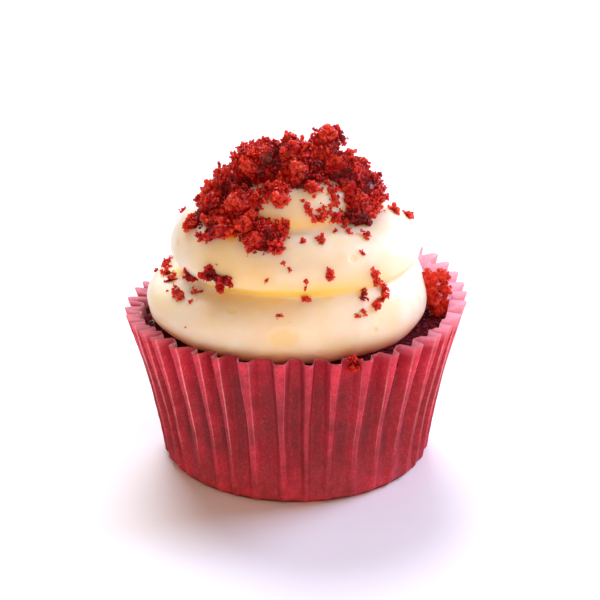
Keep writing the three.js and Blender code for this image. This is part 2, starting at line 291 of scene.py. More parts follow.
def fused(
    pieces: Sequence[bpy.types.Object],
    name: str,
    voxel: float,
    smoothing: int,
    material: bpy.types.Material,
) -> bpy.types.Object:
    """Joins closed bodies that overlap into one even skin with softened creases.

    Args:
        pieces: The bodies, which are removed.
        name: Name of the new object.
        voxel: Size of the new skin's faces in millimetres.
        smoothing: How many times the skin is smoothed.
        material: The new object's material.

    Returns:
        The new object.
    """
    whole = merged(pieces, name)
    for piece in pieces:
        bpy.data.objects.remove(piece)
    remesh = whole.modifiers.new("skin", "REMESH")
    remesh.mode = "VOXEL"
    remesh.voxel_size = voxel * MM
    smooth = whole.modifiers.new("soften", "SMOOTH")
    smooth.iterations = smoothing
    return baked(whole, name, material)


def revolved(rows: np.ndarray) -> tuple[np.ndarray, list[tuple[int, ...]]]:
    """Closes a grid of points into a body round the Z axis.

    Args:
        rows: Points as rows by columns by 3; the first and last row are the two poles.

    Returns:
        The vertices and the faces.
    """
    count, columns = rows.shape[:2]
    inner = rows[1:-1].reshape(-1, 3)
    vertices = np.vstack([inner, rows[0, :1], rows[-1, :1]])
    first_pole, last_pole = len(inner), len(inner) + 1
    faces = []
    for column in range(columns):
        after = (column + 1) % columns
        faces.append((first_pole, after, column))
        for row in range(count - 3):
            low, high = row * columns, (row + 1) * columns
            faces.append((low + column, low + after, high + after, high + column))
        top = (count - 3) * columns
        faces.append((last_pole, top + column, top + after))
    return vertices, faces


def ball(name: str, x: float, y: float, z: float, a: float, b: float, c: float) -> bpy.types.Object:
    """Builds a round body from its centre and half lengths in millimetres.

    Args:
        name: Name of the object.
        x: Centre along X.
        y: Centre along Y.
        z: Centre along Z.
        a: Half length along X.
        b: Half length along Y.
        c: Half length along Z.

    Returns:
        The body.
    """
    form = bmesh.new()
    bmesh.ops.create_icosphere(form, subdivisions=4, radius=1.0)
    points = np.array([v.co[:] for v in form.verts]) * [a, b, c] + [x, y, z]
    faces = [[v.index for v in f.verts] for f in form.faces]
    form.free()
    return mesh_object(name, points, faces)


def wave_sum(level: float, waves: Sequence[tuple[float, float, float]], angle: np.ndarray) -> np.ndarray:
    """Adds cosine and sine waves round the cupcake to a level.

    Args:
        level: What the waves go round.
        waves: For each, its number in a turn, and its cosine and sine parts.
        angle: Directions in radians.

    Returns:
        The sum at each direction.
    """
    total = np.full_like(angle, level, dtype=float)
    for number, cosine, sine in waves:
        total += cosine * np.cos(number * angle) + sine * np.sin(number * angle)
    return total


def on_axis(radius: np.ndarray, angle: np.ndarray, height: np.ndarray) -> np.ndarray:
    """Gives points from their distance from the axis, direction in radians and height."""
    radius, angle, height = np.broadcast_arrays(radius, angle, height)
    return np.stack([radius * np.cos(angle), radius * np.sin(angle), height], axis=-1)


# ---------------------------------------------------------------- finishes


@dataclass(frozen=True)
class Finish:
    """What a surface is made of. A subclass wires the shader."""

    name: str = "finish"

    def material(self) -> bpy.types.Material:
        """Makes the material and links its shader to the output.

        Returns:
            The material.
        """
        made = bpy.data.materials.new(self.name)
        made.use_nodes = True
        tree = made.node_tree
        tree.nodes.clear()
        add_node(tree, "ShaderNodeOutputMaterial", {"Surface": self.shader(tree)})
        return made

    def shader(self, tree: bpy.types.NodeTree) -> bpy.types.NodeSocket:
        """Adds the nodes of the surface and gives their shader."""
        raise NotImplementedError

    def layered(
        self,
        tree: bpy.types.NodeTree,
        under: bpy.types.NodeSocket | int,
        *layers: tuple[bpy.types.NodeSocket, int],
    ) -> bpy.types.NodeSocket:
        """Lays colours over one another.

        Args:
            tree: The node tree.
            under: The lowest colour, as a socket or an sRGB hex value.
            *layers: How much of each further colour shows, and its sRGB hex value, from below.

        Returns:
            The colour on top.
        """
        for share, over in layers:
            below = linear(under) if isinstance(under, int) else under
            inputs = {0: share, 6: below, 7: linear(over)}
            under = add_node(tree, "ShaderNodeMix", inputs, **COLOUR_MIX).outputs[2]
        return under

    def speckle(
        self, tree: bpy.types.NodeTree, size: float, detail: float = 3.0, rough: float = 0.5
    ) -> bpy.types.NodeSocket:
        """Gives noise whose features have a size in millimetres.

        Args:
            tree: The node tree.
            size: Size of the features.
            detail: How many finer layers the noise has.
            rough: How strong those are.

        Returns:
            The noise, from 0 to 1.
        """
        place = add_node(tree, "ShaderNodeTexCoord").outputs["Object"]
        inputs = {"Vector": place, "Scale": 1 / (size * MM), "Detail": detail, "Roughness": rough}
        return add_node(tree, "ShaderNodeTexNoise", inputs).outputs["Fac"]


@dataclass(frozen=True)
class Buttercream(Finish):
    """Whipped cream-cheese frosting: smooth and satin, with light that soaks in and comes out warm.

    The creases are painted a warm yellow shade, and the frosting just above the case is painted a warm glow.
    """

    name: str = "whipped_frosting"
    cream: int = 0xFCEAD2
    warm: int = 0xFAE2BC
    # painted shade: the warm yellow of the creases
    crease_shade: int = 0xF0CC48
    pit: int = 0xF5DE98
    # painted light: the warm glow on the frosting just above the case
    soaked: int = 0xF09A66
    scatter: float = 3.6  # how far light travels inside, mm

    def shader(self, tree: bpy.types.NodeTree) -> bpy.types.NodeSocket:
        """Adds the nodes of the frosting.

        Args:
            tree: The node tree.

        Returns:
            Their shader.
        """
        pit, soaked, crease = (
            add_node(tree, "ShaderNodeAttribute", attribute_name=name).outputs["Fac"]
            for name in ("pit", "soaked", "crease")
        )
        uneven = self.speckle(tree, 9.0, 2.0)
        warmth = add_node(tree, "ShaderNodeMapRange", (uneven, 0.35, 0.65, 0, 1), **SMOOTH_RANGE).outputs[0]
        body = self.layered(
            tree,
            self.cream,
            (warmth, self.warm),
            (pit, self.pit),
            (soaked, self.soaked),
            (crease, self.crease_shade),
        )
        fine = self.speckle(tree, 1.1, 4.0, 0.55)
        bump = add_node(
            tree, "ShaderNodeBump", {"Strength": 0.25, "Distance": 0.12 * MM, "Height": fine}
        ).outputs["Normal"]
        rough = add_node(
            tree, "ShaderNodeMapRange", (uneven, 0.3, 0.7, 0.36, 0.5), **SMOOTH_RANGE
        ).outputs[0]
        # where the crease shade and the bubbles' colour are painted, little light travels inside, so they
        # aren't blurred
        fat = add_node(tree, "ShaderNodeMath", (crease, pit), operation="MAXIMUM").outputs[0]
        weight = add_node(tree, "ShaderNodeMapRange", (fat, 0.1, 0.8, 1, 0.1), **SMOOTH_RANGE).outputs[0]
        inputs = {
            "Base Color": body,
            "Roughness": rough,
            "IOR": MOIST_IOR,
            "Normal": bump,
            "Subsurface Weight": weight,
            "Subsurface Radius": (1.0, 0.62, 0.36),
            "Subsurface Scale": self.scatter * MM,
        }
        return add_node(tree, "ShaderNodeBsdfPrincipled", inputs).outputs["BSDF"]


@dataclass(frozen=True)
class BakingPaper(Finish):
    """Dyed greaseproof paper: thin, matt and fibrous, and it glows where light comes through.

    It is darker and browner where it is stuck to the cake and paler inside; painted shade darkens its
    valleys and foot, and painted highlights pale its folds, rim and fibres.
    """

    name: str = "baking_paper"
    dyed: int = 0xEC4259
    # painted shade in the pleats' inner flats
    deep: int = 0xAA142E
    # brown of paper stuck to the cake and of stains, and the painted shade along the foot
    stuck: int = 0x7A2A30
    soaked: int = 0xAC3A46
    # painted highlight: the pale fold lines and rim edge, and a sheen on the fibres
    highlight_pink: int = 0xFFB4BC
    inside: int = 0xF6B4C0
    glow: int = 0xFFDCE4
    line: float = 0.02  # half width of a fold's painted highlight line, in pleat pitches
    through: tuple[float, float] = (0.12, 0.75)  # share of light that passes, on the cake and above it

    def shader(self, tree: bpy.types.NodeTree) -> bpy.types.NodeSocket:
        """Adds the nodes of the paper.

        Args:
            tree: The node tree.

        Returns:
            Their shader.
        """
        valley, low, touch, fold, sharp, edge, inside, free = (
            add_node(tree, "ShaderNodeAttribute", attribute_name=name).outputs["Fac"]
            for name in ("valley", "low", "touch", "fold", "sharp", "edge", "inside", "free")
        )
        fibre = self.speckle(tree, 0.45, 4.0, 0.65)
        cloud = self.speckle(tree, 5.0, 3.0)
        moist = add_node(tree, "ShaderNodeMapRange", (cloud, 0.3, 0.65, 0.45, 1), **SMOOTH_RANGE).outputs[0]
        low = add_node(tree, "ShaderNodeMath", (low, moist), operation="MULTIPLY").outputs[0]
        clings = add_node(tree, "ShaderNodeMapRange", (cloud, 0.3, 0.6, 0.5, 1), **SMOOTH_RANGE).outputs[0]
        touch = add_node(tree, "ShaderNodeMath", (touch, clings), operation="MULTIPLY").outputs[0]
        off_fold = add_node(tree, "ShaderNodeMath", (fold,), operation="ABSOLUTE").outputs[0]
        # painted highlights along the sharp folds and the rim edge
        line = add_node(
            tree, "ShaderNodeMapRange", (off_fold, 0.3 * self.line, self.line, 1, 0), **SMOOTH_RANGE
        ).outputs[0]
        line = add_node(tree, "ShaderNodeMath", (line, sharp), operation="MULTIPLY").outputs[0]
        pale = add_node(tree, "ShaderNodeMath", (line, edge), operation="MAXIMUM").outputs[0]
        # pale fibre flecks: a painted sheen on the paper's grain
        grain = add_node(tree, "ShaderNodeMapRange", (fibre, 0.45, 0.75, 0, 0.09), **SMOOTH_RANGE).outputs[0]
        flecks = add_node(tree, "ShaderNodeMapRange", (fibre, 0.55, 0.3, 0, 0.42), **SMOOTH_RANGE).outputs[0]
        patchy = self.speckle(tree, 2.4, 3.0, 0.6)
        blots = add_node(tree, "ShaderNodeMapRange", (patchy, 0.42, 0.7, 0, 0.42), **SMOOTH_RANGE).outputs[0]
        covered = add_node(tree, "ShaderNodeMath", (1, free), operation="SUBTRACT").outputs[0]
        blots = add_node(tree, "ShaderNodeMath", (blots, covered), operation="MULTIPLY").outputs[0]
        stains = add_node(tree, "ShaderNodeMath", (flecks, blots), operation="MAXIMUM").outputs[0]
        colour = self.layered(
            tree,
            self.dyed,
            (valley, self.deep),
            (low, self.soaked),
            (touch, self.stuck),
            (inside, self.inside),
            (pale, self.highlight_pink),
            (grain, self.highlight_pink),
            (stains, self.stuck),
        )
        bump = add_node(
            tree, "ShaderNodeBump", {"Strength": 0.5, "Distance": 0.08 * MM, "Height": fibre}
        ).outputs["Normal"]
        inputs = {
            "Base Color": colour,
            "Roughness": 0.7,
            "IOR": MOIST_IOR,
            "Normal": bump,
            "Specular IOR Level": 0.18,
        }
        face = add_node(tree, "ShaderNodeBsdfPrincipled", inputs).outputs["BSDF"]
        lit = self.layered(tree, colour, (free, self.glow))
        passed = add_node(tree, "ShaderNodeBsdfTranslucent", {"Color": lit, "Normal": bump}).outputs[0]
        share = add_node(tree, "ShaderNodeMapRange", (free, 0, 1, *self.through), **SMOOTH_RANGE).outputs[0]
        return add_node(tree, "ShaderNodeMixShader", (share, face, passed)).outputs[0]


@dataclass(frozen=True)
class CakeCrust(Finish):
    """Moist dark crust of a baked red cake: nearly black, with wet glints on its crumb."""

    name: str = "baked_crust"
    dark: int = 0x48121A
    red: int = 0x8E2E34

    def shader(self, tree: bpy.types.NodeTree) -> bpy.types.NodeSocket:
        """Adds the nodes of the crust.

        Args:
            tree: The node tree.

        Returns:
            Their shader.
        """
        crumb = self.speckle(tree, 0.9, 4.0, 0.6)
        paler = add_node(tree, "ShaderNodeMapRange", (crumb, 0.45, 0.75, 0, 1), **SMOOTH_RANGE).outputs[0]
        bump = add_node(
            tree, "ShaderNodeBump", {"Strength": 0.8, "Distance": 0.25 * MM, "Height": crumb}
        ).outputs["Normal"]
        damp = self.speckle(tree, 0.7, 2.0)
        wet = add_node(tree, "ShaderNodeMapRange", (damp, 0.55, 0.7, 0, 1), **SMOOTH_RANGE).outputs[0]
        smoother = add_node(tree, "ShaderNodeMath", (wet, 0.4), operation="MULTIPLY").outputs[0]
        inputs = {
            "Base Color": self.layered(tree, self.dark, (paler, self.red)),
            "Roughness": add_node(tree, "ShaderNodeMath", (0.6, smoother), operation="SUBTRACT").outputs[0],
            "IOR": MOIST_IOR,
            "Normal": bump,
            "Specular IOR Level": add_node(
                tree, "ShaderNodeMath", (wet, 0.6), operation="MULTIPLY"
            ).outputs[0],
        }
        return add_node(tree, "ShaderNodeBsdfPrincipled", inputs).outputs["BSDF"]


@dataclass(frozen=True)
class SpongeCrumb(Finish):
    """Crumbled red sponge: an open, moist crumb that glows orange-red where light soaks through."""

    name: str = "sponge_crumb"
    dark: int = 0x581218
    red: int = 0xDA1C22
    bright: int = 0xFF5236
    glow: int = 0xFF683C  # of light that comes right through
    through: float = 0.45
    scatter: float = 0.5  # how far light travels inside, mm

    def shader(self, tree: bpy.types.NodeTree) -> bpy.types.NodeSocket:
        """Adds the nodes of the crumb.

        Args:
            tree: The node tree.

        Returns:
            Their shader.
        """
        tip, tone = (
            add_node(tree, "ShaderNodeAttribute", attribute_name=name).outputs["Fac"]
            for name in ("tip", "tone")
        )
        pores = self.speckle(tree, 0.5, 3.0, 0.6)
        # painted shade: a grain's inner parts darker than its tips
        tip = add_node(tree, "ShaderNodeMapRange", (tip, 0.25, 0.9, 0.3, 1.3), **SMOOTH_RANGE).outputs[0]
        tone = add_node(tree, "ShaderNodeMath", (tone, tip), operation="MULTIPLY").outputs[0]
        redder, brighter, lit = (
            add_node(tree, "ShaderNodeMapRange", (tone, low, high, 0, 1), **SMOOTH_RANGE).outputs[0]
            for low, high in ((0, 0.5), (0.5, 1), (0, 0.7))
        )
        holes = add_node(tree, "ShaderNodeMapRange", (pores, 0.5, 0.8, 0, 0.5), **SMOOTH_RANGE).outputs[0]
        colour = self.layered(
            tree, self.dark, (redder, self.red), (brighter, self.bright), (holes, self.dark)
        )
        bump = add_node(
            tree, "ShaderNodeBump", {"Strength": 0.7, "Distance": 0.15 * MM, "Height": pores}
        ).outputs["Normal"]
        inputs = {
            "Base Color": colour,
            "Roughness": 0.22,
            "IOR": MOIST_IOR,
            "Normal": bump,
            "Specular IOR Level": 0.6,
            "Subsurface Weight": 1.0,
            "Subsurface Radius": (1.0, 0.16, 0.1),
            "Subsurface Scale": self.scatter * MM,
        }
        face = add_node(tree, "ShaderNodeBsdfPrincipled", inputs).outputs["BSDF"]
        glowing = self.layered(tree, self.red, (lit, self.glow))
        passed = add_node(tree, "ShaderNodeBsdfTranslucent", {"Color": glowing}).outputs[0]
        return add_node(tree, "ShaderNodeMixShader", (self.through, face, passed)).outputs[0]


@dataclass(frozen=True)
class TableTop(Finish):
    """Matt white table top."""

    name: str = "white_table"
    white: int = 0xF8FAFF

    def shader(self, tree: bpy.types.NodeTree) -> bpy.types.NodeSocket:
        """Adds the node of the table and gives its shader."""
        values = {"Base Color": linear(self.white), "Roughness": 0.6}
        return add_node(tree, "ShaderNodeBsdfPrincipled", values).outputs["BSDF"]


# ---------------------------------------------------------------- paper case


@dataclass
class PaperCase:
    """The pleated case: a thin wall in flat-topped pleats on a round floor."""

    base_radius: float = 27.8
    rim_radius: float = 35.0
    late_flare: float = 0.42
    floor_radius: float = 26.6
    pleats: int = 40
    rim_depth: float = 3.0
    base_depth: float = 0.3
    growth: float = 0.9  # power of the height by which the pleats deepen
    paper: float = 0.16
    # half widths of the outer and inner flats, in pleat pitches, low on the wall and at the rim
    crest: tuple[float, float] = (0.08, 0.15)
    valley: tuple[float, float] = (0.27, 0.21)
    fold: tuple[float, ...] = (-0.028, -0.01, 0.01, 0.028)  # columns round each fold, in pleat pitches
    rounding: float = 0.2  # share of a pleat's side over which its folds are rounded
    bulge: float = 0.1  # how far an outer flat bows at the rim, as a share of the pleat's depth
    rim_height: tuple = (33.64, ((1, 1.48, 0.63), (2, -0.41, 0.95)))
    drift: tuple = (3.7, ((1, 1.1, -0.9), (2, 1.0, -2.3), (9, -0.37, -0.7), (13, -0.6, 0.25)))
    unevenness: tuple = (1.0, ((7, 0.07, 0.05), (11, -0.06, 0.08)))
    stray: tuple[float, float, float] = (207.0, 6.0, 2.6)  # azimuth, width and lean, degrees
    undercut: float = 0.9  # how far the foot is drawn in under the wall
    turn_up: tuple[float, float] = (0.12, 0.06)  # how far out and up the floor's edge goes under the foot
    sway: float = 0.14  # how far the folds wander up the wall, in pleat pitches
    ragged: float = 0.3  # how far the rim goes up and down from pleat to pleat
    crinkle: float = 0.16  # how far the paper goes in and out, in millimetres
    fine_crinkle: float = 0.07
    foot_rows: tuple[float, ...] = (0, 0.006, 0.014, 0.025, 0.042)  # shares of the wall's height
    rows: int = 35

    def radius(self, share: np.ndarray) -> np.ndarray:
        """Gives the radius of the pleats' outer flats at a share of the wall's height.

        Args:
            share: Shares of the wall's height.

        Returns:
            One radius for each.
        """
        late = share + self.late_flare * share * (share - 1)
        foot = self.undercut * (1 - smoothstep(0, 0.04, share))
        return self.base_radius - foot + (self.rim_radius - self.base_radius) * late

    def depth(self, pleat: np.ndarray, share: np.ndarray) -> np.ndarray:
        """Gives how deep a pleat is at a share of the wall's height."""
        even = self.base_depth + (self.rim_depth - self.base_depth) * share**self.growth
        return even * wave_sum(*self.unevenness, TURN * np.round(pleat) / self.pleats)

    def angle(self, pleat: np.ndarray, share: np.ndarray) -> np.ndarray:
        """Gives the direction in radians of a place given in pleats.

        Args:
            pleat: How many pleats round the case each place is.
            share: Its share of the wall's height.

        Returns:
            One direction for each place.
        """
        even = TURN * pleat / self.pleats
        angle = even + np.radians(wave_sum(*self.drift, even))
        azimuth, width, lean = np.radians(self.stray)
        away = (angle - azimuth) / width
        return angle + lean * (1 - share) * np.exp(-away * away)

    def flats(self, share: np.ndarray) -> tuple[np.ndarray, np.ndarray]:
        """Gives the half widths of the outer and inner flats at a share of the wall's height.

        Args:
            share: Shares of the wall's height.

        Returns:
            The outer and the inner half widths, in pleat pitches.
        """
        free = smoothstep(0.5, 1.0, share)
        crest, valley = (low + (high - low) * free for low, high in (self.crest, self.valley))
        return crest, valley

    def columns(self, share: np.ndarray) -> np.ndarray:
        """Gives every column of the wall in pleats, closer together at the folds.

        Args:
            share: Shares of the wall's height, one for each row.

        Returns:
            One row for each share.
        """
        crest, valley = self.flats(share)
        corner = np.array(self.fold)
        middle = 0.5 * (crest + 0.5 - valley)
        outer = [0.0 * crest, 0.4 * crest, crest + corner]
        inner = [0.5 - valley + corner, 0.5 - 0.5 * valley]
        half = np.concatenate([*outer, middle, *inner], axis=1)
        one = np.concatenate([half, 0.5 + 0.0 * crest, 1 - half[:, :0:-1]], axis=1)
        return (np.arange(self.pleats)[None, :, None] + one[:, None, :]).reshape(len(share), -1)

    def outness(self, offset: np.ndarray, share: np.ndarray) -> np.ndarray:
        """Gives 1 on a pleat's outer flat and 0 on its inner flat, with rounded corners.

        Args:
            offset: How many pleats round the case each place is.
            share: Its share of the wall's height.

        Returns:
            One value for each place.
        """
        crest, valley = self.flats(share)
        away = np.abs(offset - np.round(offset))
        ramp = (0.5 - valley - away) / (0.5 - valley - crest)
        soft = self.rounding
        rise = np.clip(ramp, -soft, 1 + soft)
        low = np.where(rise < soft, (rise + soft) ** 2 / (4 * soft), rise)
        flat = np.where(rise > 1 - soft, 1 - (1 + soft - rise) ** 2 / (4 * soft), low)
        bow = np.clip(1 - (away / crest) ** 2, 0, 1) - 0.5
        return flat + self.bulge * bow * smoothstep(0.6, 1.0, share)

    def build(self, paper: bpy.types.Material) -> bpy.types.Object:
        """Builds the case.

        Args:
            paper: The paper's material.

        Returns:
            The case as one thin closed wall.
        """
        share = np.concatenate([self.foot_rows, np.linspace(0.07, 1, self.rows)])[:, None]
        pleat = self.columns(share)
        out = self.outness(pleat, share)
        sway = self.sway * noise_grid(np.stack([pleat, 2.2 * share + 0 * pleat], axis=-1), 1.0, 3.0)
        angle = self.angle(pleat + sway * smoothstep(0.1, 0.5, share) * (1 - share), share)
        rim = wave_sum(*self.rim_height, self.angle(pleat, np.ones_like(share)))
        uneven = noise_grid(np.stack([0.8 * pleat, 0 * pleat], axis=-1), 1.0, 6.0)
        ragged = self.ragged * uneven + self.ragged * (out - 0.6)
        height = share * rim + ragged * smoothstep(0.7, 1.0, share)
        depth = self.depth(pleat, share) * (1 - out)
        skin = on_axis(self.radius(share) - depth, angle, height)
        flat = skin.reshape(-1, 3)
        way = flat * [1, 1, 0] / np.linalg.norm(flat[:, :2], axis=1, keepdims=True)
        crinkle = self.crinkle * noise_at(flat * [1, 1, 0.35], 3.2, 4.0)
        crinkle += self.fine_crinkle * noise_at(flat, 1.3, 9.0)
        fade = smoothstep(0, 0.15, share + 0 * pleat).ravel()
        skin = (flat + way * (crinkle * fade)[:, None]).reshape(skin.shape)
        inner = skin - self.paper * way.reshape(skin.shape)
        inner[..., 2] = np.maximum(inner[..., 2], self.paper)
        foot = angle[:1]
        discs = [(self.floor_radius * part, 0.0) for part in (0.0, 0.7, 1.0)]
        out_by, up_by = self.turn_up
        discs.append((self.floor_radius + out_by, up_by))
        below = [on_axis(np.full_like(foot, r), foot, np.full_like(foot, z)) for r, z in discs]
        above = [
            on_axis(np.full_like(foot, self.floor_radius * part), foot, np.full_like(foot, self.paper))
            for part in (0.7, 0.0)
        ]
        rows = np.concatenate([*below, skin[1:], inner[:0:-1], *above], axis=0)
        vertices, faces = revolved(rows)
        case = mesh_object("paper_case_wall", vertices, faces, paper)
        shares = np.concatenate([np.zeros((len(below) - 1, 1)), share[1:], share[:0:-1], np.zeros((1, 1))])
        outer_rows = len(below) - 1 + len(share) - 1
        inside = np.concatenate([np.zeros((outer_rows, 1)), np.ones((len(share), 1))])
        self.mark(case, shares, inside)
        return case

    def mark(self, case: bpy.types.Object, shares: np.ndarray, inside: np.ndarray) -> None:
        """Stores where the paper is stuck to the cake or low on the wall, and where it is painted: shade in
        the valleys and at the foot, highlights along the folds and the rim.

        Args:
            case: The wall.
            shares: The share of the wall's height of each row of its vertices, less the two poles.
            inside: 1 for each row on the inner face, else 0.
        """
        points = coordinates(case)
        pleat = self.columns(shares)
        share = shares + 0 * pleat
        crest, _ = self.flats(share)
        out = self.outness(pleat, share)
        away = np.abs(pleat - np.round(pleat))
        poles = len(points) - pleat.size
        place = points[: pleat.size]
        azimuth = np.degrees(np.arctan2(place[:, 1], place[:, 0])).reshape(pleat.shape) % 360
        wobble = noise_at(place * [1, 1, 0.5], 5.0, 2.0).reshape(pleat.shape)
        uneven_glint = smoothstep(-0.35, 0.35, noise_grid(np.stack([2.3 * pleat, 3 * share], axis=-1), 1.0, 7.0))
        uneven_shade = noise_grid(np.stack([1.7 * pleat, 1.2 * share], axis=-1), 1.0, 5.0)
        # in front the painted highlights on the folds and the rim are weakest, less light comes through the
        # rim, and the lower band reaches highest
        fold_highlight_off_front = 1 - 0.85 * np.exp(-(((azimuth - 274) / 26) ** 2))
        moist = np.exp(-(((azimuth - 264) / 27) ** 2))
        rim_light_off_front = 1 - 0.9 * np.exp(-(((azimuth - 262) / 55) ** 2))
        values = {
            "inside": inside + 0 * pleat,
            "fold": away - crest,
            # painted highlights along the folds, patchy, weakest in front
            "sharp": 0.85 * smoothstep(0.12, 0.6, share) * (0.45 + 0.55 * uneven_glint) * fold_highlight_off_front,
            # painted highlight along the rim edge, weakest in front
            "edge": 0.5 * smoothstep(0.98, 1.0, share) * rim_light_off_front,
            # painted shade in the inner flats, patchy
            "valley": np.clip((1 - out) * smoothstep(0.0, 0.3, share) * (0.85 + 0.5 * uneven_shade), 0, 1),
            # stuck to the cake across the inner flats, and painted shade along the foot
            "touch": 0.85 * smoothstep(0.18, 0.42, away)
            * smoothstep(0.15, 0.4, share)
            * (1 - smoothstep(0.68, 0.93, share + 0.08 * wobble))
            + 1 - smoothstep(0.01, 0.025, share),
            "low": 1 - smoothstep(0.45, 0.95, share - 0.22 * moist + 0.16 * wobble),
            "free": smoothstep(29.6, 31.6, place[:, 2]).reshape(pleat.shape) * rim_light_off_front,
        }
        for name, value in values.items():
            set_attribute(case, name, np.append(value.ravel(), np.zeros(poles)))


# ---------------------------------------------------------------- cake


@dataclass
class Cake:
    """The dark cake that fills the case: fluted by the pleats, with a crumbly crust on top."""

    case: PaperCase
    gap: float = 0.12
    floor: float = 0.5
    foot_radius: float = 26.4
    shoulder: float = 0.86
    edge_height: float = 30.5
    edge_radius: float = 29.2
    dome_rise: float = 0.9
    flute_share: float = 0.5
    crumb_relief: float = 0.45
    crumb_size: float = 1.1
    highest: float = 0.25  # how far a crumb may stand out before it meets the paper
    shown: tuple[float, float] = (26.5, 28.5)  # heights between which the crumb starts
    hidden_radius: float = 18.0  # the crust is under the frosting inside this
    lowest: float = 0.12  # share of the wall's height where the flutes start
    wall_rows: int = 14
    bend_rows: int = 8
    crust_rows: int = 21
    steps: int = 12  # columns for each flute

    def top(self, radius: np.ndarray) -> np.ndarray:
        """Gives the height of the cake's top at a distance from its axis."""
        return self.edge_height + self.dome_rise * np.maximum(0, 1 - (radius / self.edge_radius) ** 2)

    def build(self, crust: bpy.types.Material) -> bpy.types.Object:
        """Builds the cake.

        Args:
            crust: The crust's material.

        Returns:
            The cake as one closed body.
        """
        case = self.case
        pleat = (np.arange(case.pleats * self.steps) / self.steps)[None, :]
        foot = case.angle(pleat, np.zeros((1, 1)))
        floor = np.full_like(pleat, self.floor)
        rows = [on_axis(np.full_like(pleat, radius), foot, floor) for radius in (0.0, self.foot_radius)]
        wall = None
        for share in np.linspace(self.lowest, self.shoulder, self.wall_rows):
            share = np.full((1, 1), share)
            out = self.flute_share * case.outness(pleat, share)
            radius = case.radius(share) - case.paper - self.gap - case.depth(pleat, share) * (1 - out)
            angle = case.angle(pleat, share)
            wall = (radius, angle, share * wave_sum(*case.rim_height, angle))
            rows.append(on_axis(*wall))
        radius, angle, height = wall
        for bend in np.linspace(0, math.pi / 2, self.bend_rows + 1)[1:]:
            ring = radius + (self.edge_radius - radius) * (1 - math.cos(bend))
            level = height + (self.edge_height - height) * math.sin(bend)
            rows.append(on_axis(ring, angle, level))
        for ring in np.linspace(self.edge_radius, self.hidden_radius, self.crust_rows + 1)[1:]:
            rows.append(on_axis(np.full_like(pleat, ring), angle, np.full_like(pleat, self.top(ring))))
        rows.append(on_axis(np.zeros_like(pleat), angle, np.full_like(pleat, self.top(0.0))))
        vertices, faces = revolved(np.concatenate(rows, axis=0))
        cake = mesh_object("baked_cake", vertices, faces, crust)
        self.roughen(cake)
        return cake

    def roughen(self, cake: bpy.types.Object) -> None:
        """Raises the crust into crumbs and radial tears near the edge that shows.

        Args:
            cake: The cake.
        """
        points = coordinates(cake)
        shown = smoothstep(*self.shown, points[:, 2])
        azimuth = np.arctan2(points[:, 1], points[:, 0])
        reach = np.linalg.norm(points[:, :2], axis=1)
        radial = np.stack([30 * azimuth, 0.25 * reach, 0.25 * points[:, 2]], axis=1)
        tears = noise_at(radial, self.crumb_size, 3.0)
        lumps = knobs_at(points, self.crumb_size, 6.0) - 0.6
        rise = self.crumb_relief * (lumps + 0.5 * tears) * shown
        set_coordinates(cake, points + normals(cake) * np.minimum(rise, self.highest)[:, None])


# ---------------------------------------------------------------- frosting


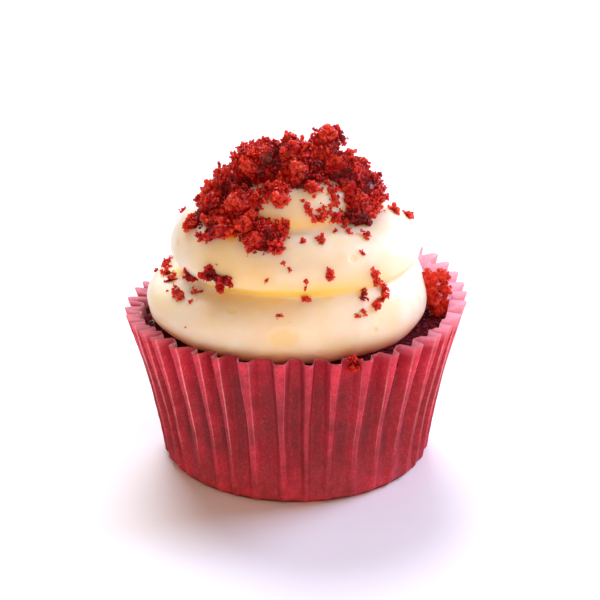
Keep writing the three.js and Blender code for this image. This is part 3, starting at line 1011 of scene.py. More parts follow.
@dataclass
class Coil:
    """The piped rope, coiled upwards and inwards. Sizes are in millimetres, angles in degrees."""

    # angle, reach, height of the widest edge, half width, rise above it, sag below it, centre in X
    stations: tuple[tuple[float, ...], ...] = (
        (25, 27.6, 35, 7.4, 7.6, 4.4, -1.6),
        (110, 28.4, 35.2, 8, 5.9, 4.9, -2.1),
        (180, 28.1, 35, 8, 2.9, 3.8, -2.1),
        (270, 28.9, 35, 8, 8.2, 4.7, -2.1),
        (345, 28.6, 34, 8, 11.4, 3.6, -2.1),
        (400, 28.7, 35.9, 8.4, 10.5, 4, -1.8),
        (470, 26.4, 40.4, 9.6, 9.8, 4, -1.2),
        (545, 24.7, 44.7, 10.8, 8.9, 5.6, -0.5),
        (640, 24.8, 45.2, 11, 8.5, 2.6, -0.4),
        (730, 25.4, 46, 11, 8.4, 2.3, -0.4),
        (820, 21.6, 48.6, 10.2, 8, 3.2, -0.2),
        (900, 17.6, 51.6, 9, 7.6, 3.2, 0),
        (990, 16.2, 53.4, 8.2, 7.2, 3, 0),
        (1060, 12.8, 55.6, 7, 6.2, 2.2, 0),
        (1120, 7.2, 58.2, 4.6, 4.2, 2, 0),
        (1165, 2.6, 60.2, 2, 2.4, 1.4, 0),
    )
    centre_y: float = -1.0
    taper: float = 14.0
    bluntness: float = 0.1
    power_above: float = 0.95
    power_below: tuple[float, float] = (0.36, 0.85)  # on the cake and higher up
    raised: tuple[float, float] = (36.0, 41.0)  # heights between which it goes from one to the other
    lean: tuple[float, float, float] = (0.031, 31.0, 42.0)  # slope, and heights where it starts and is full
    far: float = 9.0  # value that depths gives past either end of the rope

    def along(self, angle: np.ndarray) -> np.ndarray:
        """Gives the station values at angles of the coil, one column for each angle.

        Args:
            angle: Angles of the coil.

        Returns:
            One row for each size: reach, height, half width, rise, sag and centre in X.
        """
        table = np.array(self.stations, float)
        at, sizes = table[:, 0], table[:, 1:]
        last = len(at) - 1
        i = np.clip(np.searchsorted(at, angle, side="right") - 1, 0, last - 1)
        before, after = np.maximum(i - 1, 0), np.minimum(i + 2, last)
        span = at[i + 1] - at[i]
        t = np.clip((angle - at[i]) / span, 0, 1)[:, None]
        slope_in = (sizes[i + 1] - sizes[before]) * (span / (at[i + 1] - at[before]))[:, None]
        slope_out = (sizes[after] - sizes[i]) * (span / (at[after] - at[i]))[:, None]
        slope_in[i == 0] = 0
        slope_out[i + 1 == last] = 0
        start, end = sizes[i], sizes[i + 1]
        value = (
            start * (2 * t**3 - 3 * t**2 + 1)
            + slope_in * (t**3 - 2 * t**2 + t)
            + end * (3 * t**2 - 2 * t**3)
            + slope_out * (t**3 - t**2)
        )
        return value.T

    def points(self, angle: np.ndarray, rise: np.ndarray, grow: float | np.ndarray = 0.0) -> np.ndarray:
        """Gives points of the rope's skin.

        Args:
            angle: Angles of the coil.
            rise: Angles up the rope's section from its widest edge.
            grow: How far outside the skin the points lie.

        Returns:
            One row for each point.
        """
        angle, rise = (np.atleast_1d(np.asarray(v, float)) for v in (angle, rise))
        reach, height, half, above, below, centre_x = self.along(angle)
        end = np.clip((angle - self.stations[0][0]) / self.taper, self.bluntness, 1)
        round_off = np.sqrt(1 - (1 - end) ** 2)
        across, up = np.cos(np.radians(rise)), np.sin(np.radians(rise))
        low, high = self.power_below
        power = np.where(up > 0, self.power_above, low + (high - low) * smoothstep(*self.raised, height))
        squared = np.sign(across) * np.abs(across) ** power
        radius = reach - half + (half + grow) * squared * round_off
        level = height + (np.where(up > 0, above, below) + grow) * up * round_off
        point = on_axis(radius, np.radians(angle), level)
        point += np.stack([centre_x, np.full_like(centre_x, self.centre_y), np.zeros_like(centre_x)], axis=1)
        return self.leaned(point)

    def leaned(self, point: np.ndarray) -> np.ndarray:
        """Lowers the upper turns towards +X.

        Args:
            point: One row for each point of the upright coil.

        Returns:
            The lowered points.
        """
        slope, low, high = self.lean
        point = point.copy()
        point[:, 2] -= slope * smoothstep(low, high, point[:, 2]) * point[:, 0]
        return point

    def depths(self, point: np.ndarray) -> np.ndarray:
        """Gives how near points are to the coil's turns: below 1 inside a turn.

        Args:
            point: One row for each point.

        Returns:
            For each point, the smallest and second smallest value over the turns.
        """
        slope, low, high = self.lean
        level = point[:, 2] + slope * smoothstep(low, high, point[:, 2]) * point[:, 0]
        first, last = self.stations[0][0], self.stations[-1][0]
        base = np.degrees(np.arctan2(point[:, 1] - self.centre_y, point[:, 0])) % 360
        found = []
        for turn in range(-1, 4):
            angle = base + 360 * turn
            reach, height, half, above, below, centre_x = self.along(np.clip(angle, first, last))
            radius = np.hypot(point[:, 0] - centre_x, point[:, 1] - self.centre_y)
            across = (radius - reach + half) / half
            up = (level - height) / np.where(level > height, above, below)
            depth = np.hypot(across, up)
            depth[(angle < first) | (angle > last)] = self.far
            found.append(depth)
        return np.sort(np.array(found), axis=0)[:2]


@dataclass
class Frosting:
    """The swirl of frosting: the coiled rope fused to its solid middle, with a few burst bubbles."""

    coil: Coil
    cake: Cake
    sides: int = 56
    step: float = 1.5
    voxel: float = 0.37
    softening: int = 40
    swell: float = 0.25  # what the softening takes off again
    dents: tuple = ((0.22, 7.0, 1.0), (0.08, 2.6, 5.0))  # depth, size and pattern of the uneven skin
    bedding: float = 0.25  # how far the frosting goes into the cake's top
    # second value of the coil's depths where the painted crease shade is full, and where it ends
    crease_reach: tuple[float, float] = (1.2, 1.7)
    # azimuth and spread of the side where the painted crease shade is paler, and how much paler
    paler_crease_side: tuple[float, float, float] = (330.0, 32.0, 0.8)
    glow_fade: tuple[float, float] = (30.8, 34.6)  # heights between which the painted warm glow fades
    core: tuple = ((0, 20), (22, 20), (22, 31), (21.5, 41), (14, 50.5), (7, 56), (0, 59.5))
    core_centre: tuple[float, float] = (-1.0, -1.0)
    # centre and half lengths of dabs that fill the fold where the second turn starts
    dabs: tuple = ((-23.6, -1.4, 37.4, 2.2, 3.4, 1.7), (-22.4, -5.2, 38.0, 2.0, 3.0, 1.6))
    # angle of the coil, rise, half width along the rope, half width up it, depth, all of one bubble
    bubbles: tuple[tuple[float, float, float, float, float], ...] = (
        (269.7, 12.3, 3.1, 2.1, 0.22),
        (247.5, 49.6, 1.1, 0.8, 0.14),
        (307.1, 10.6, 0.8, 0.6, 0.16),
        (659.0, 33.4, 1.0, 0.8, 0.16),
        (684.3, 38.5, 1.3, 0.8, 0.16),
        (724.0, 25.0, 0.8, 0.6, 0.12),
        (283.2, -15.0, 0.7, 0.5, 0.14),
        (340.0, 20.0, 0.7, 0.6, 0.12),
        (131.0, 30.0, 1.4, 0.9, 0.15),
        (560.0, 20.0, 0.9, 0.7, 0.14),
        (470.0, 42.0, 1.2, 0.8, 0.15),
    )
    # angle of the coil, rise, radius and strength of spots of painted warm yellow shade in the creases
    pools: tuple[tuple[float, float, float, float], ...] = (
        (175.5, 82.0, 3.4, 1.0),
        (181.0, 84.0, 3.4, 1.0),
        (598.0, 4.0, 8.0, 0.3),
        (612.0, -14.0, 6.0, 0.4),
        (645.0, -40.0, 2.4, 0.9),
        (662.0, -35.0, 2.2, 0.9),
        (1029.5, -10.0, 1.5, 1.0),
        (1034.0, -25.0, 2.0, 1.0),
        (593.0, 62.0, 1.8, 1.0),
        (595.0, 53.0, 1.4, 0.9),
        (430.0, 80.0, 2.4, 0.5),
    )

    def rope(self) -> bpy.types.Object:
        """Builds the bare rope as one closed body.

        Returns:
            The rope.
        """
        first, last = self.coil.stations[0][0], self.coil.stations[-1][0]
        rings = int((last - first) / self.step) + 1
        angle = np.repeat(np.linspace(first, last, rings), self.sides)
        rise = np.tile(np.arange(self.sides) * 360 / self.sides, rings)
        points = self.coil.points(angle, rise, self.swell)
        faces: list[tuple[int, ...]] = []
        for ring in range(rings - 1):
            low, high = ring * self.sides, (ring + 1) * self.sides
            for side in range(self.sides):
                after = (side + 1) % self.sides
                faces.append((low + side, low + after, high + after, high + side))
        faces.append(tuple(range(self.sides))[::-1])
        faces.append(tuple(range((rings - 1) * self.sides, rings * self.sides)))
        return mesh_object("rope", points, faces)

    def middle(self) -> bpy.types.Object:
        """Builds the solid middle inside the coil.

        Returns:
            The middle.
        """
        turn = np.linspace(0, TURN, 49)[:-1][None, :]
        rows = [on_axis(np.full_like(turn, r), turn, np.full_like(turn, z)) for r, z in self.core]
        grid = np.concatenate(rows, axis=0)
        grid[..., 0] += self.core_centre[0]
        grid[..., 1] += self.core_centre[1]
        grid = self.coil.leaned(grid.reshape(-1, 3)).reshape(grid.shape)
        return mesh_object("middle", *revolved(grid))

    def build(self, finish: bpy.types.Material) -> bpy.types.Object:
        """Builds the swirl.

        Args:
            finish: The frosting's material.

        Returns:
            The swirl as one closed body.
        """
        dabs = [ball(f"dab_{number}", *sizes) for number, sizes in enumerate(self.dabs)]
        swirl = fused([self.rope(), self.middle(), *dabs], "piped_swirl", self.voxel, self.softening, finish)
        points = coordinates(swirl)
        way = normals(swirl)
        uneven = sum(depth * noise_at(points, size, seed) for depth, size, seed in self.dents)
        pit = np.zeros(len(points))
        sunk = np.zeros(len(points))
        for angle, rise, wide, tall, depth in self.bubbles:
            centre, ahead, over = self.coil.points([angle, angle + 2, angle], [rise, rise, rise + 4])
            along_rope = (ahead - centre) / np.linalg.norm(ahead - centre)
            up_rope = (over - centre) / np.linalg.norm(over - centre)
            offset = points - centre
            away = np.hypot(offset @ along_rope / wide, offset @ up_rope / tall)
            away = np.hypot(away, (offset @ np.cross(along_rope, up_rope)) / max(wide, tall))
            away = away + 0.18 * noise_at(points, 1.6, angle)
            hollow = 1 - smoothstep(0.7, 1.1, away)
            pit = np.maximum(pit, hollow)
            sunk = np.maximum(sunk, depth * hollow)
        points = points + way * (uneven - sunk)[:, None]
        reach = np.linalg.norm(points[:, :2], axis=1)
        points[:, 2] = np.maximum(points[:, 2], self.cake.top(reach) - self.bedding)
        set_coordinates(swirl, points)
        self.mark(swirl, points, pit)
        return swirl

    def mark(self, swirl: bpy.types.Object, points: np.ndarray, pit: np.ndarray) -> None:
        """Stores where the frosting is pitted, and where it is painted: warm yellow shade in the creases,
        warm glow low down by the case.

        Args:
            swirl: The swirl.
            points: Its vertices in millimetres.
            pit: How deep in a bubble each vertex is, from 0 to 1.
        """
        # painted shade: warm yellow in the creases on faces that look down, paler on one side, fuller in
        # spots
        second = self.coil.depths(points)[1]
        cloud = smoothstep(-0.5, 0.6, noise_at(points, 6.0, 8.0))
        under = 1 - smoothstep(0.05, 0.6, normals(swirl)[:, 2])
        crease = (1 - smoothstep(*self.crease_reach, second)) ** 1.3 * under * (0.85 + 0.15 * cloud)
        azimuth = np.degrees(np.arctan2(points[:, 1], points[:, 0])) % 360
        middle, spread, less = self.paler_crease_side
        crease = crease * (1 - less * np.exp(-(((azimuth - middle) / spread) ** 2)))
        for angle, rise, radius, strength in self.pools:
            centre = self.coil.points(angle, rise)[0]
            away = np.linalg.norm(points - centre, axis=1) / radius
            near = 1 - smoothstep(0.5, 1.15, away + 0.25 * noise_at(points, 1.8, radius))
            crease = np.maximum(crease, strength * near)
        # painted light: a warm glow low on the frosting, fading upwards
        height = points[:, 2] + 0.8 * noise_at(points, 3.0, 2.0)
        soaked = 0.8 * (1 - smoothstep(*self.glow_fade, height))
        set_attribute(swirl, "crease", crease)
        set_attribute(swirl, "pit", 0.6 * pit)
        set_attribute(swirl, "soaked", soaked)


# ---------------------------------------------------------------- crumbs


class Placing(Enum):
    """Where grains are put."""

    SURFACE = "surface"
    POINTS = "points"


@dataclass
class Grains:
    """Grains of sponge of one kind, in several shapes, put down by Geometry Nodes."""

    name: str
    knobs: int  # how many knobs make up one grain
    knob_sizes: tuple[float, float]  # smallest and largest radius of a knob, as a share of the grain
    detail: int = 1  # subdivisions of the ball a knob starts from
    branching: float = 0.6  # how often a knob grows from anywhere, not from the newest ones
    newest: int = 4
    spread: float = 0.8  # distance between two knobs over the sum of their radii
    stretch: tuple[float, float] = (0.6, 1.5)  # least and most of a knob along each axis
    raggedness: float = 0.75  # how far a knob's radius goes up and down, as a share of it
    tries: float = 4.0  # grains scattered for each square of the spacing, before those too close go
    shapes: int = 8
    crown_gain: float = 0.85  # how much of a grain's tone is lost in the cracks, as painted shade
    seed: int = 1

    def shape(self, number: int) -> bpy.types.Mesh:
        """Builds one ragged grain from knobs that grow out of each other, one unit across.

        Args:
            number: Number of the shape, which gives its random draw.

        Returns:
            The grain. Its attribute tip says how far out each vertex is, from 0 to 1.
        """
        draw = np.random.default_rng(100 * self.seed + number)
        centres = [np.zeros(3)]
        radii = [draw.uniform(*self.knob_sizes)]
        for _ in range(self.knobs - 1):
            oldest = 0 if draw.random() < self.branching else max(0, len(centres) - self.newest)
            parent = draw.integers(oldest, len(centres))
            radius = draw.uniform(*self.knob_sizes)
            way = draw.normal(size=3)
            step = self.spread * (radii[parent] + radius) * way / np.linalg.norm(way)
            centres.append(centres[parent] + step)
            radii.append(radius)
        form = bmesh.new()
        for centre, radius in zip(centres, radii):
            knob = bmesh.ops.create_icosphere(form, subdivisions=self.detail, radius=1.0)["verts"]
            stretch = draw.uniform(*self.stretch, 3)
            shift = draw.uniform(0, 50)
            directions = np.array([v.co[:] for v in knob])
            lengths = radius * (1 + self.raggedness * noise_at(directions, 0.6, shift))
            for vertex, direction, length in zip(knob, directions, lengths):
                vertex.co = Vector(centre + direction * stretch * length)
        points = np.array([v.co[:] for v in form.verts])
        middle = 0.5 * (points.max(axis=0) + points.min(axis=0))
        across = np.max(points.max(axis=0) - points.min(axis=0))
        reach = np.linalg.norm(points - middle, axis=1) / (0.5 * across)
        for vertex, point in zip(form.verts, (points - middle) / across):
            vertex.co = Vector(point)
        mesh = bpy.data.meshes.new(f"{self.name}_{number}")
        form.to_mesh(mesh)
        form.free()
        mesh.shade_smooth()
        tip = mesh.attributes.new("tip", "FLOAT", "POINT")
        tip.data.foreach_set("value", np.clip(reach, 0, 1).astype(np.float32))
        return mesh

    def collection(self) -> bpy.types.Collection:
        """Gathers the grain shapes in a collection that isn't shown.

        Returns:
            The collection.
        """
        gathered = bpy.data.collections.new(self.name)
        for number in range(self.shapes):
            gathered.objects.link(bpy.data.objects.new(f"{self.name}_{number}", self.shape(number)))
        return gathered

    def tree(self, placing: Placing) -> bpy.types.NodeTree:
        """Builds the node tree that puts a randomly turned grain at each place.

        Args:
            placing: Over a surface, or on given points that hold a size and a shade.

        Returns:
            The tree, with named inputs.
        """
        tree = bpy.data.node_groups.new(f"{self.name}_{placing.value}", "GeometryNodeTree")
        sockets = {
            "Geometry": "Geometry",
            "Grains": "Collection",
            "Spacing": "Float",
            "Density": "Float",
            "Everywhere": "Float",
            "Smallest": "Float",
            "Largest": "Float",
            "Lift": "Float",
            "Darkest": "Float",
            "Brightest": "Float",
            "Seed": "Int",
            "Finish": "Material",
        }
        for name, kind in sockets.items():
            tree.interface.new_socket(name=name, in_out="INPUT", socket_type=f"NodeSocket{kind}")
        tree.interface.new_socket(name="Geometry", in_out="OUTPUT", socket_type="NodeSocketGeometry")
        given = add_node(tree, "NodeGroupInput").outputs
        seed = given["Seed"]
        if placing is Placing.SURFACE:
            crown = add_node(
                tree, "GeometryNodeInputNamedAttribute", {"Name": "crown"}, data_type="FLOAT"
            ).outputs["Attribute"]
            factor = add_node(
                tree, "ShaderNodeMath", (crown, given["Everywhere"]), operation="MAXIMUM"
            ).outputs[0]
            inputs = {
                "Mesh": given["Geometry"],
                "Distance Min": given["Spacing"],
                "Density Max": given["Density"],
                "Density Factor": factor,
                "Seed": seed,
            }
            spread = add_node(
                tree, "GeometryNodeDistributePointsOnFaces", inputs, distribute_method="POISSON"
            ).outputs
            lift = add_node(
                tree,
                "ShaderNodeVectorMath",
                {0: spread["Normal"], "Scale": given["Lift"]},
                operation="SCALE",
            ).outputs[0]
            places = add_node(
                tree, "GeometryNodeSetPosition", {"Geometry": spread["Points"], "Offset": lift}
            ).outputs[0]
            size, shade = (
                add_node(
                    tree,
                    "FunctionNodeRandomValue",
                    {2: given[least], 3: given[most], "Seed": seed},
                    data_type="FLOAT",
                ).outputs[1]
                for least, most in (("Smallest", "Largest"), ("Darkest", "Brightest"))
            )
            # painted shade: grains in the cracks are toned darker
            lighter = add_node(
                tree,
                "ShaderNodeMath",
                (crown, self.crown_gain, 1 - self.crown_gain),
                operation="MULTIPLY_ADD",
            ).outputs[0]
            shade = add_node(tree, "ShaderNodeMath", (shade, lighter), operation="MULTIPLY").outputs[0]
        else:
            places = given["Geometry"]
            size, shade = (
                add_node(
                    tree, "GeometryNodeInputNamedAttribute", {"Name": name}, data_type="FLOAT"
                ).outputs["Attribute"]
                for name in ("size", "shade")
            )
        turn = add_node(
            tree,
            "FunctionNodeRandomValue",
            {0: (0.0, 0.0, 0.0), 1: (TURN, TURN, TURN), "Seed": seed},
            data_type="FLOAT_VECTOR",
        ).outputs[0]
        shapes = add_node(
            tree,
            "GeometryNodeCollectionInfo",
            {"Collection": given["Grains"], "Separate Children": True, "Reset Children": True},
        ).outputs[0]
        placed = add_node(
            tree,
            "GeometryNodeInstanceOnPoints",
            {"Points": places, "Instance": shapes, "Pick Instance": True, "Rotation": turn, "Scale": size},
        ).outputs[0]
        toned = add_node(
            tree,
            "GeometryNodeStoreNamedAttribute",
            {"Geometry": placed, "Name": "tone", "Value": shade},
            data_type="FLOAT",
            domain="INSTANCE",
        ).outputs[0]
        real = add_node(tree, "GeometryNodeRealizeInstances", {"Geometry": toned}).outputs[0]
        dressed = add_node(
            tree, "GeometryNodeSetMaterial", {"Geometry": real, "Material": given["Finish"]}
        ).outputs[0]
        add_node(tree, "NodeGroupOutput", {"Geometry": dressed})
        return tree

    def put(
        self,
        host: bpy.types.Object,
        name: str,
        finish: bpy.types.Material,
        placing: Placing = Placing.SURFACE,
        spacing: float = 1.0,
        sizes: tuple[float, float] = (1.0, 1.0),
        lift: float = 0.0,
        tones: tuple[float, float] = (0.0, 1.0),
        everywhere: float = 1.0,
    ) -> bpy.types.Object:
        """Puts grains on a surface or on points and makes them one plain mesh.

        Args:
            host: The surface or the points. It isn't changed.
            name: Name of the new object.
            finish: The grains' material.
            placing: Over the surface, or on the points.
            spacing: Least distance between grains in millimetres.
            sizes: Smallest and largest grain in millimetres.
            lift: How far off the surface a grain's centre is, in millimetres.
            tones: Darkest and brightest grain, from 0 to 1.
            everywhere: How many grains lie in the cracks for each one on the crowns.

        Returns:
            All the grains as one object.
        """
        tree = self.tree(placing)
        gathered = self.collection()
        holder = bpy.data.objects.new(name, host.data.copy())
        bpy.context.scene.collection.objects.link(holder)
        modifier = holder.modifiers.new("grains", "NODES")
        modifier.node_group = tree
        inputs = {
            "Grains": gathered,
            "Spacing": spacing * MM,
            "Density": self.tries / (spacing * MM) ** 2,
            "Everywhere": everywhere,
            "Smallest": sizes[0] * MM,
            "Largest": sizes[1] * MM,
            "Lift": lift * MM,
            "Darkest": tones[0],
            "Brightest": tones[1],
            "Seed": self.seed,
            "Finish": finish,
        }
        for item in tree.interface.items_tree:
            if item.in_out == "INPUT" and item.name in inputs:
                modifier[item.identifier] = inputs[item.name]
        made = baked(holder, name, finish)
        for shape in list(gathered.objects):
            bpy.data.objects.remove(shape)
        bpy.data.collections.remove(gathered)
        bpy.data.node_groups.remove(tree)
        return made


@dataclass
class CrumbPile:
    """A pile of crumbled sponge: a dark core, clusters of crumb on it, and loose fine grains."""

    name: str
    node: str
    # centre x, y, z and half lengths x, y, z of each mound
    mounds: tuple[tuple[float, float, float, float, float, float], ...]
    coil: Coil
    shrink: float = 1.0  # how far the core lies inside the mounds
    # name, knobs of a grain, size of its knobs, least spacing, grain sizes, lift, tones, share in cracks
    kinds: tuple = (
        ("clusters", 96, (0.055, 0.1), 3.0, (2.6, 4.4), 0.5, (0.4, 1.3), 0.04),
        ("crumbs", 40, (0.085, 0.15), 2.0, (1.5, 2.6), 0.7, (0.4, 1.5), 0.3),
        ("grains", 13, (0.15, 0.25), 1.3, (0.8, 1.4), 0.5, (0.4, 1.5), 0.9),
        ("specks", 5, (0.25, 0.38), 0.8, (0.45, 0.8), 0.3, (0.3, 1.5), 0.9),
    )
    # centre and radius of each hollow, toned darker as painted shade, and how far it is sunk
    hollows: tuple[tuple[float, float, float, float, float], ...] = ()
    clump: float = 4.6  # distance between clumps
    relief: float = 1.7  # how far the clumps stand out of the cracks
    depth_tone: float = 0.0  # tone in the cracks, from 0 to 1
    least: float = 0.4  # least half length of a mound of the core
    voxel: float = 0.28
    softening: int = 4
    bare_depth: float = 0.98  # crumbs lie only where the core is at most this deep in the frosting
    seed: int = 3

    def core(self, finish: bpy.types.Material) -> bpy.types.Object:
        """Builds the core from the mounds, with crumb relief.

        Args:
            finish: The crumbs' material.

        Returns:
            The core. Its attribute crown is 1 on the crumb's crowns and 0 in the cracks.
        """
        balls = []
        for number, (*centre, a, b, c) in enumerate(self.mounds):
            half = np.maximum(np.array([a, b, c]) - self.shrink, self.least)
            balls.append(ball(f"mound_{number}", *centre, *half))
        core = fused(balls, f"{self.name}_core", self.voxel, self.softening, finish)
        points = coordinates(core)
        clumps = knobs_at(points, self.clump, 5.0)
        relief = self.relief * (clumps - 0.7) + 0.6 * noise_at(points, 2.6, 4.0)
        fine = knobs_at(points, 1.3, 2.0)
        relief += 0.7 * (fine - 0.5) + 0.4 * (knobs_at(points, 0.7, 3.0) - 0.5)
        crown = smoothstep(0.4, 0.85, clumps)
        # painted shade: each hollow is sunk and toned darker
        for *centre, radius, depth in self.hollows:
            near = np.exp(-((np.linalg.norm(points - centre, axis=1) / radius) ** 2))
            relief -= depth * near
            crown *= 1 - near
        set_coordinates(core, points + normals(core) * relief[:, None])
        set_attribute(core, "crown", crown)
        set_attribute(core, "tip", np.ones(len(points)))
        # painted shade: the core's tone is darker in its cracks and hollows
        set_attribute(core, "tone", self.depth_tone + 0.5 * crown * fine)
        return core

    def bare(self, surface: bpy.types.Object) -> bpy.types.Object:
        """Copies the faces of a surface that lie outside the frosting.

        Args:
            surface: The surface. It isn't changed.

        Returns:
            The faces, as an object without a material.
        """
        form = bmesh.new()
        form.from_mesh(surface.data)
        form.faces.ensure_lookup_table()
        centres = np.array([f.calc_center_median()[:] for f in form.faces]) / MM
        inside = self.coil.depths(centres)[0] < self.bare_depth
        buried = [face for face, hidden in zip(form.faces, inside) if hidden]
        bmesh.ops.delete(form, geom=buried, context="FACES")
        mesh = bpy.data.meshes.new("bare")
        form.to_mesh(mesh)
        form.free()
        return object_of("bare", mesh)

    def build(self, finish: bpy.types.Material) -> list[bpy.types.Object]:
        """Builds the pile.

        Args:
            finish: The crumbs' material.

        Returns:
            The core and one object for each kind of crumb.
        """
        core = self.core(finish)
        skin = self.bare(core)
        pieces = [core]
        for number, (kind, knobs, knob_sizes, *laid) in enumerate(self.kinds):
            grains = Grains(f"{self.name}_{kind}_shape", knobs, knob_sizes, seed=self.seed + number)
            pieces.append(grains.put(skin, f"{self.name}_{kind}", finish, Placing.SURFACE, *laid))
        bpy.data.objects.remove(skin)
        return pieces


@dataclass
class LooseCrumbs:
    """Single crumbs stuck to the frosting and one on the rim of the case."""

    coil: Coil
    # angle of the coil, rise and size of each crumb
    crumbs: tuple[tuple[float, float, float], ...] = (
        (165, 19, 1.0), (161, 46, 2.2), (167, 54, 1.8), (176, 62, 2.2), (189, 67, 1.8), (184, 72, 1.2),
        (201, 67, 1.0), (211, 59, 2.0), (216, 55, 1.6), (207, 61, 1.2), (219, 75, 1.5),
        (222, 80, 0.8), (224, 51, 1.1), (201, 53, 0.6), (227, 58, 0.4), (228, 7, 0.5),
        (279, 64, 1.5), (268, 42, 1.0), (262, 72, 0.4), (272, 34, 0.4),
        (667.5, 12, 2.0), (669, 1, 1.8), (318.5, 66, 1.4), (317, 54, 1.9), (313.5, 44, 2.0),
        (309.5, 37, 1.6), (300, 33, 1.0), (303, 34, 1.2),
        (593, 16, 0.6), (618, 9, 0.9), (625, 32, 0.9), (628, 25, 0.8), (614, 33, 0.4), (635, 11, 0.9),
        (635, 4, 0.8), (646, 23, 1.3), (646, 17, 1.8), (646, 66, 1.7), (645, 60, 1.4), (635, 61, 1.1),
        (658, 74, 0.9), (666, 70, 1.3), (674, 60, 1.6), (672, 55, 1.2), (665, 39, 1.0), (685, 50, 0.4),
        (716, 62, 1.8), (722, 44, 1.6), (725, 38, 1.6),
        (996, 49, 0.9), (998, 39, 1.5), (1000, 29, 1.5), (1003, 20, 1.7), (1007, 16, 1.6), (1010, 18, 1.4),
        (1014, 21, 1.2), (1011, 33, 1.3), (1007, 29, 1.1), (1017, 27, 1.0), (1021, 31, 1.6), (1024, 34, 1.3),
        (984, 18, 0.9), (982, 15, 0.7),
        (60, 50, 1.8), (64, 45, 0.8), (95, 38, 1.4), (128, 61, 0.7), (150, 52, 2.0), (156, 47, 0.9),
        (480, 50, 1.8), (486, 44, 0.8), (520, 35, 1.6), (528, 42, 0.6), (848, 30, 1.4), (856, 22, 0.8),
    )
    # the same for crumbs as dark as the cake's inside
    dark_crumbs: tuple[tuple[float, float, float], ...] = (
        (591, 3, 2.8), (595, 0, 3.2), (599, 1, 2.4), (571, -28, 2.2), (574, -32, 1.4), (305.5, 53, 1.8),
    )
    lift: float = 0.2  # how far a crumb's centre is off the frosting, as a share of its size
    ragged_size: float = 1.6  # reach of a crumb's thin ends over its body
    # azimuth, radius, height and size of the parts of the moist crumb pressed on the case's rim
    rim_parts: tuple[tuple[float, float, float, float], ...] = (
        (289.0, 33.1, 32.6, 2.8),
        (290.6, 33.2, 32.0, 3.0),
        (292.2, 33.1, 31.5, 2.6),
        (288.4, 33.0, 31.4, 2.2),
    )
    tones: tuple[float, float] = (0.8, 1.3)  # darkest and brightest crumb
    dark_tone: float = 0.35
    rim_tone: float = 0.55
    seed: int = 5

    def build(self, finish: bpy.types.Material) -> bpy.types.Object:
        """Builds the crumbs.

        Args:
            finish: The crumbs' material.

        Returns:
            All the single crumbs as one object.
        """
        angle, rise, size = np.array(self.crumbs + self.dark_crumbs).T
        places = self.coil.points(angle, rise, self.lift * size)
        shade = np.random.default_rng(self.seed).uniform(*self.tones, len(places))
        shade[len(self.crumbs) :] = self.dark_tone
        shapes = Grains("loose_crumb_shape", 60, (0.065, 0.13), shapes=14, seed=self.seed)
        return self.laid("loose_crumbs", shapes, places, self.ragged_size * size, shade, finish)

    def on_rim(self, finish: bpy.types.Material) -> bpy.types.Object:
        """Builds the crumb on the rim of the case, as one object.

        Args:
            finish: The crumbs' material.

        Returns:
            The crumb.
        """
        azimuth, radius, height, size = np.array(self.rim_parts).T
        places = on_axis(radius, np.radians(azimuth), height)
        shapes = Grains("rim_crumb_shape", 60, (0.11, 0.18), branching=0.9, shapes=4, seed=self.seed)
        shade = np.full(len(size), self.rim_tone)
        return self.laid("rim_crumb", shapes, places, size, shade, finish)

    def laid(
        self,
        name: str,
        shapes: Grains,
        places: np.ndarray,
        sizes: np.ndarray,
        shades: np.ndarray,
        finish: bpy.types.Material,
    ) -> bpy.types.Object:
        """Puts one grain at each place.

        Args:
            name: Name of the new object.
            shapes: The grains to draw from.
            places: One row for each grain, in millimetres.
            sizes: How large each is, in millimetres.
            shades: The tone of each.
            finish: The crumbs' material.

        Returns:
            The grains as one object.
        """
        spots = mesh_object("spots", places, [])
        set_attribute(spots, "size", sizes * MM)
        set_attribute(spots, "shade", shades)
        made = shapes.put(spots, name, finish, Placing.POINTS)
        bpy.data.objects.remove(spots)
        return made


# ---------------------------------------------------------------- studio


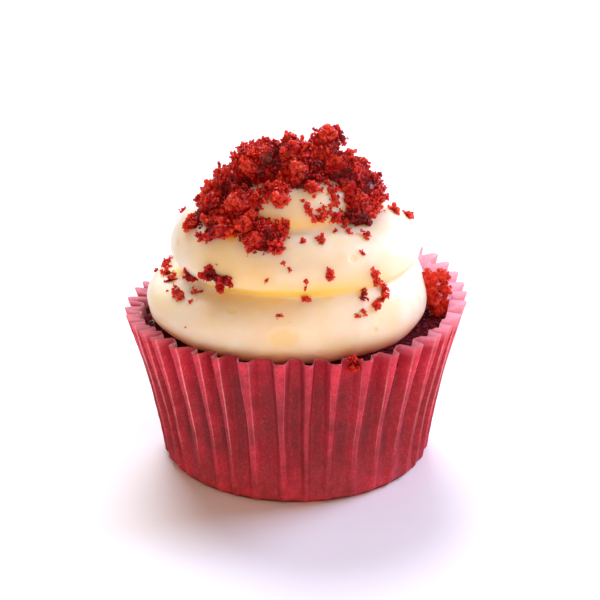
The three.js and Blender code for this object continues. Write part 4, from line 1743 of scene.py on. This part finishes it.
@dataclass
class Studio:
    """Camera, pale floor and soft light."""

    camera_place: tuple[float, float, float] = (0.0, -322.64, 164.10)
    pitch: float = 22.18  # degrees below level
    yaw: float = 0.151
    lens: float = 101.47
    sensor: float = 36.0
    nearest: float = 0.01  # metres in front of the camera
    table_half: float = 2500.0
    window_distance: float = 600.0
    # azimuth and height it comes from and spread in degrees, power and colour of each window
    windows: tuple = (
        (102, 45, 38, 3.0, 0xF2F5FF),
        (88, 12, 50, 0.9, 0xF0F4FF),
        (24, 29, 36, 3.9, 0xCEDCFF),
        (160, 22, 45, 0.2, 0xFFF4EC),
        (295, 62, 60, 0.25, 0xF4F8FF),
    )
    fill_power: float = 1.85
    fill_place: tuple[float, float, float] = (90.0, -580.0, 95.0)
    fill_target: tuple[float, float, float] = (0.0, 0.0, 35.0)
    fill_size: float = 380.0
    fill_colour: int = 0xFFD2A6
    sky: float = 0.26
    sky_colour: int = 0xFFD4B0

    def build(self, finish: bpy.types.Material) -> None:
        """Builds the camera, the floor and the lights.

        Args:
            finish: The floor's material.
        """
        scene = bpy.context.scene
        camera = bpy.data.objects.new("camera", bpy.data.cameras.new("camera"))
        camera.data.lens = self.lens
        camera.data.sensor_width = self.sensor
        camera.data.clip_start = self.nearest
        camera.location = Vector(self.camera_place) * MM
        camera.rotation_euler = (math.radians(90 - self.pitch), 0, math.radians(-self.yaw))
        scene.collection.objects.link(camera)
        scene.camera = camera
        half = self.table_half
        corners = np.array([[-half, -half, 0], [half, -half, 0], [half, half, 0], [-half, half, 0]])
        mesh_object("table", corners, [(0, 1, 2, 3)], finish)
        for azimuth, height, spread, power, colour in self.windows:
            azimuth, height = np.radians((azimuth, height))
            window = bpy.data.lights.new("window", "SUN")
            window.angle = math.radians(spread)
            window.energy = power
            window.color = linear(colour)[:3]
            level, up = self.window_distance * np.array([np.cos(height), np.sin(height)])
            self.aim(window, on_axis(level, azimuth, up), (0, 0, 0))
        lamp = bpy.data.lights.new("lamp", "AREA")
        lamp.shape = "SQUARE"
        lamp.size = self.fill_size * MM
        lamp.energy = self.fill_power
        lamp.color = linear(self.fill_colour)[:3]
        self.aim(lamp, self.fill_place, self.fill_target)
        world = bpy.data.worlds.new("sky")
        world.use_nodes = True
        back = world.node_tree.nodes["Background"]
        back.inputs["Color"].default_value = linear(self.sky_colour)
        back.inputs["Strength"].default_value = self.sky
        scene.world = world
        scene.view_settings.view_transform = "Standard"

    def aim(self, lamp: bpy.types.Light, place: Sequence[float], target: Sequence[float]) -> None:
        """Puts a light in the scene.

        Args:
            lamp: The light.
            place: Where it is, in millimetres.
            target: What it looks at, in millimetres.
        """
        holder = bpy.data.objects.new(lamp.name, lamp)
        holder.location = Vector(place) * MM
        way = Vector(target) - Vector(place)
        holder.rotation_euler = way.to_track_quat("-Z", "Y").to_euler()
        bpy.context.scene.collection.objects.link(holder)


# ---------------------------------------------------------------- the cupcake


MOUNDS = (
    (-5.5, -3, 62.6, 6, 7, 5),
    (1.8, -4.6, 61.2, 6, 7, 5),
    (6.2, -1.5, 65.7, 3.2, 3.4, 4.4),
    (9, -3, 60.2, 5.6, 6.6, 4.6),
    (13.4, -3.5, 57, 4.2, 6, 4.8),
    (12.2, -9.8, 54.6, 3.8, 4, 4),
    (-11.2, -4, 58.4, 5.2, 7, 4),
    (-15.6, -5, 54.8, 4.2, 6.6, 3.8),
    (-17.8, -9, 52, 3.6, 4.6, 2.8),
    (-14, -13.6, 53, 4.2, 4, 2.8),
    (-9, -11.6, 56.8, 5, 4.6, 3.4),
    (-8.6, -15.6, 55, 3, 3.4, 2.6),
    (-6, -18.6, 52.6, 5, 3.6, 3.6),
    (1, 5.5, 59.4, 8.4, 6.6, 4.6),
    (-9.5, 7, 56, 6, 5.4, 4),
    (9.5, 6, 56, 5.6, 5.4, 4.2),
    (-9.8, -4, 64.4, 2.6, 3, 2.4),
    (-1.2, -3.5, 66.2, 3.2, 3, 2.2),
    (-3.1, -12.2, 59.6, 3.8, 2.4, 2.2),
    (1.6, -11.4, 60.8, 4.4, 2, 1.6),
    (7, -10.2, 58, 2, 3.2, 4),
    (8.6, -12.6, 55, 2, 1.8, 2.4),
    (-16.2, -15.2, 52, 3.2, 2.4, 2),
    (-5.6, -21.2, 51.6, 3.4, 2.2, 2),
    (-2.6, -18.8, 52.8, 1.7, 2.6, 3),
    (-7.3, -11, 59.6, 2.4, 2.4, 2.4),
    (-14.2, -2, 59.6, 2.6, 3, 2.4),
    (9.2, -1.5, 67.8, 1.6, 1.6, 1.7),
)

# hollows in the heap, sunk and toned darker as painted shade
HOLLOWS = (
    (-5.4, -9, 64.2, 2.8, 1.6),
    (-8, -11, 61.6, 2.2, 1.2),
    (3.4, -9.4, 61.6, 2.6, 1.4),
    (10, -12, 58.4, 2, 1.2),
    (6.1, -4.6, 67.2, 1.6, 0.8),
    (-12.4, -10, 58, 2, 1),
)

LUMP_MOUNDS = (
    (27.1, -2, 38.2, 1.6, 1.7, 1.7),
    (27.6, -2, 35.6, 1.5, 1.7, 2.4),
    (28.4, -2.2, 33, 1.6, 1.8, 2),
    (30, 1, 37.4, 1.3, 1.5, 1.4),
    (30.8, 0, 34.9, 1.2, 1.5, 1.5),
    (30.6, -2, 32.2, 1.2, 1.4, 1.4),
    (29.2, -3, 31.6, 1.6, 1.6, 1),
    (32.2, -4, 31.2, 1.2, 1, 0.8),
)

# the lump's grains are toned bright: painted light from the right
LUMP_KINDS = (
    ("crumbs", 24, (0.12, 0.19), 1.3, (1.2, 2), 0.1, (0.9, 1.5), 0.7),
    ("grains", 10, (0.18, 0.28), 0.8, (0.6, 1.1), 0.15, (0.9, 1.6), 1),
)


def adopt(pieces: Sequence[bpy.types.Object], node: str) -> None:
    """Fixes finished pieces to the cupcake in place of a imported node.

    Args:
        pieces: The finished pieces.
        node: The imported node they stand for.
    """
    for piece in pieces:
        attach(piece, BODY)
        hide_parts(node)
        piece.data.calc_loop_triangles()
        log.info("%s: %d triangles for %s", piece.name, len(piece.data.loop_triangles), node)


def main() -> None:
    """Builds the cupcake and its studio."""
    logging.basicConfig(level=logging.INFO, format="%(name)s %(message)s")
    Studio().build(TableTop().material())
    crumb = SpongeCrumb().material()
    case = PaperCase()
    adopt([case.build(BakingPaper().material())], "paper_case")
    cake = Cake(case)
    adopt([cake.build(CakeCrust().material())], "cake")
    coil = Coil()
    adopt([Frosting(coil, cake).build(Buttercream().material())], "frosting")
    loose = LooseCrumbs(coil)
    adopt([loose.build(crumb)], "frosting")
    adopt([loose.on_rim(crumb)], "paper_case")
    heap = CrumbPile("heap", "crumb_heap", MOUNDS, coil, hollows=HOLLOWS)
    adopt(heap.build(crumb), heap.node)
    # painted light: the lump's core and grains are toned brighter, where light from the right falls
    lump = CrumbPile(
        "lump",
        "rim_chunk",
        LUMP_MOUNDS,
        coil,
        shrink=0.3,
        kinds=LUMP_KINDS,
        clump=2.6,
        relief=0.5,
        depth_tone=0.6,
        seed=9,
    )
    adopt(lump.build(crumb), lump.node)


if __name__ == "__main__":
    main()
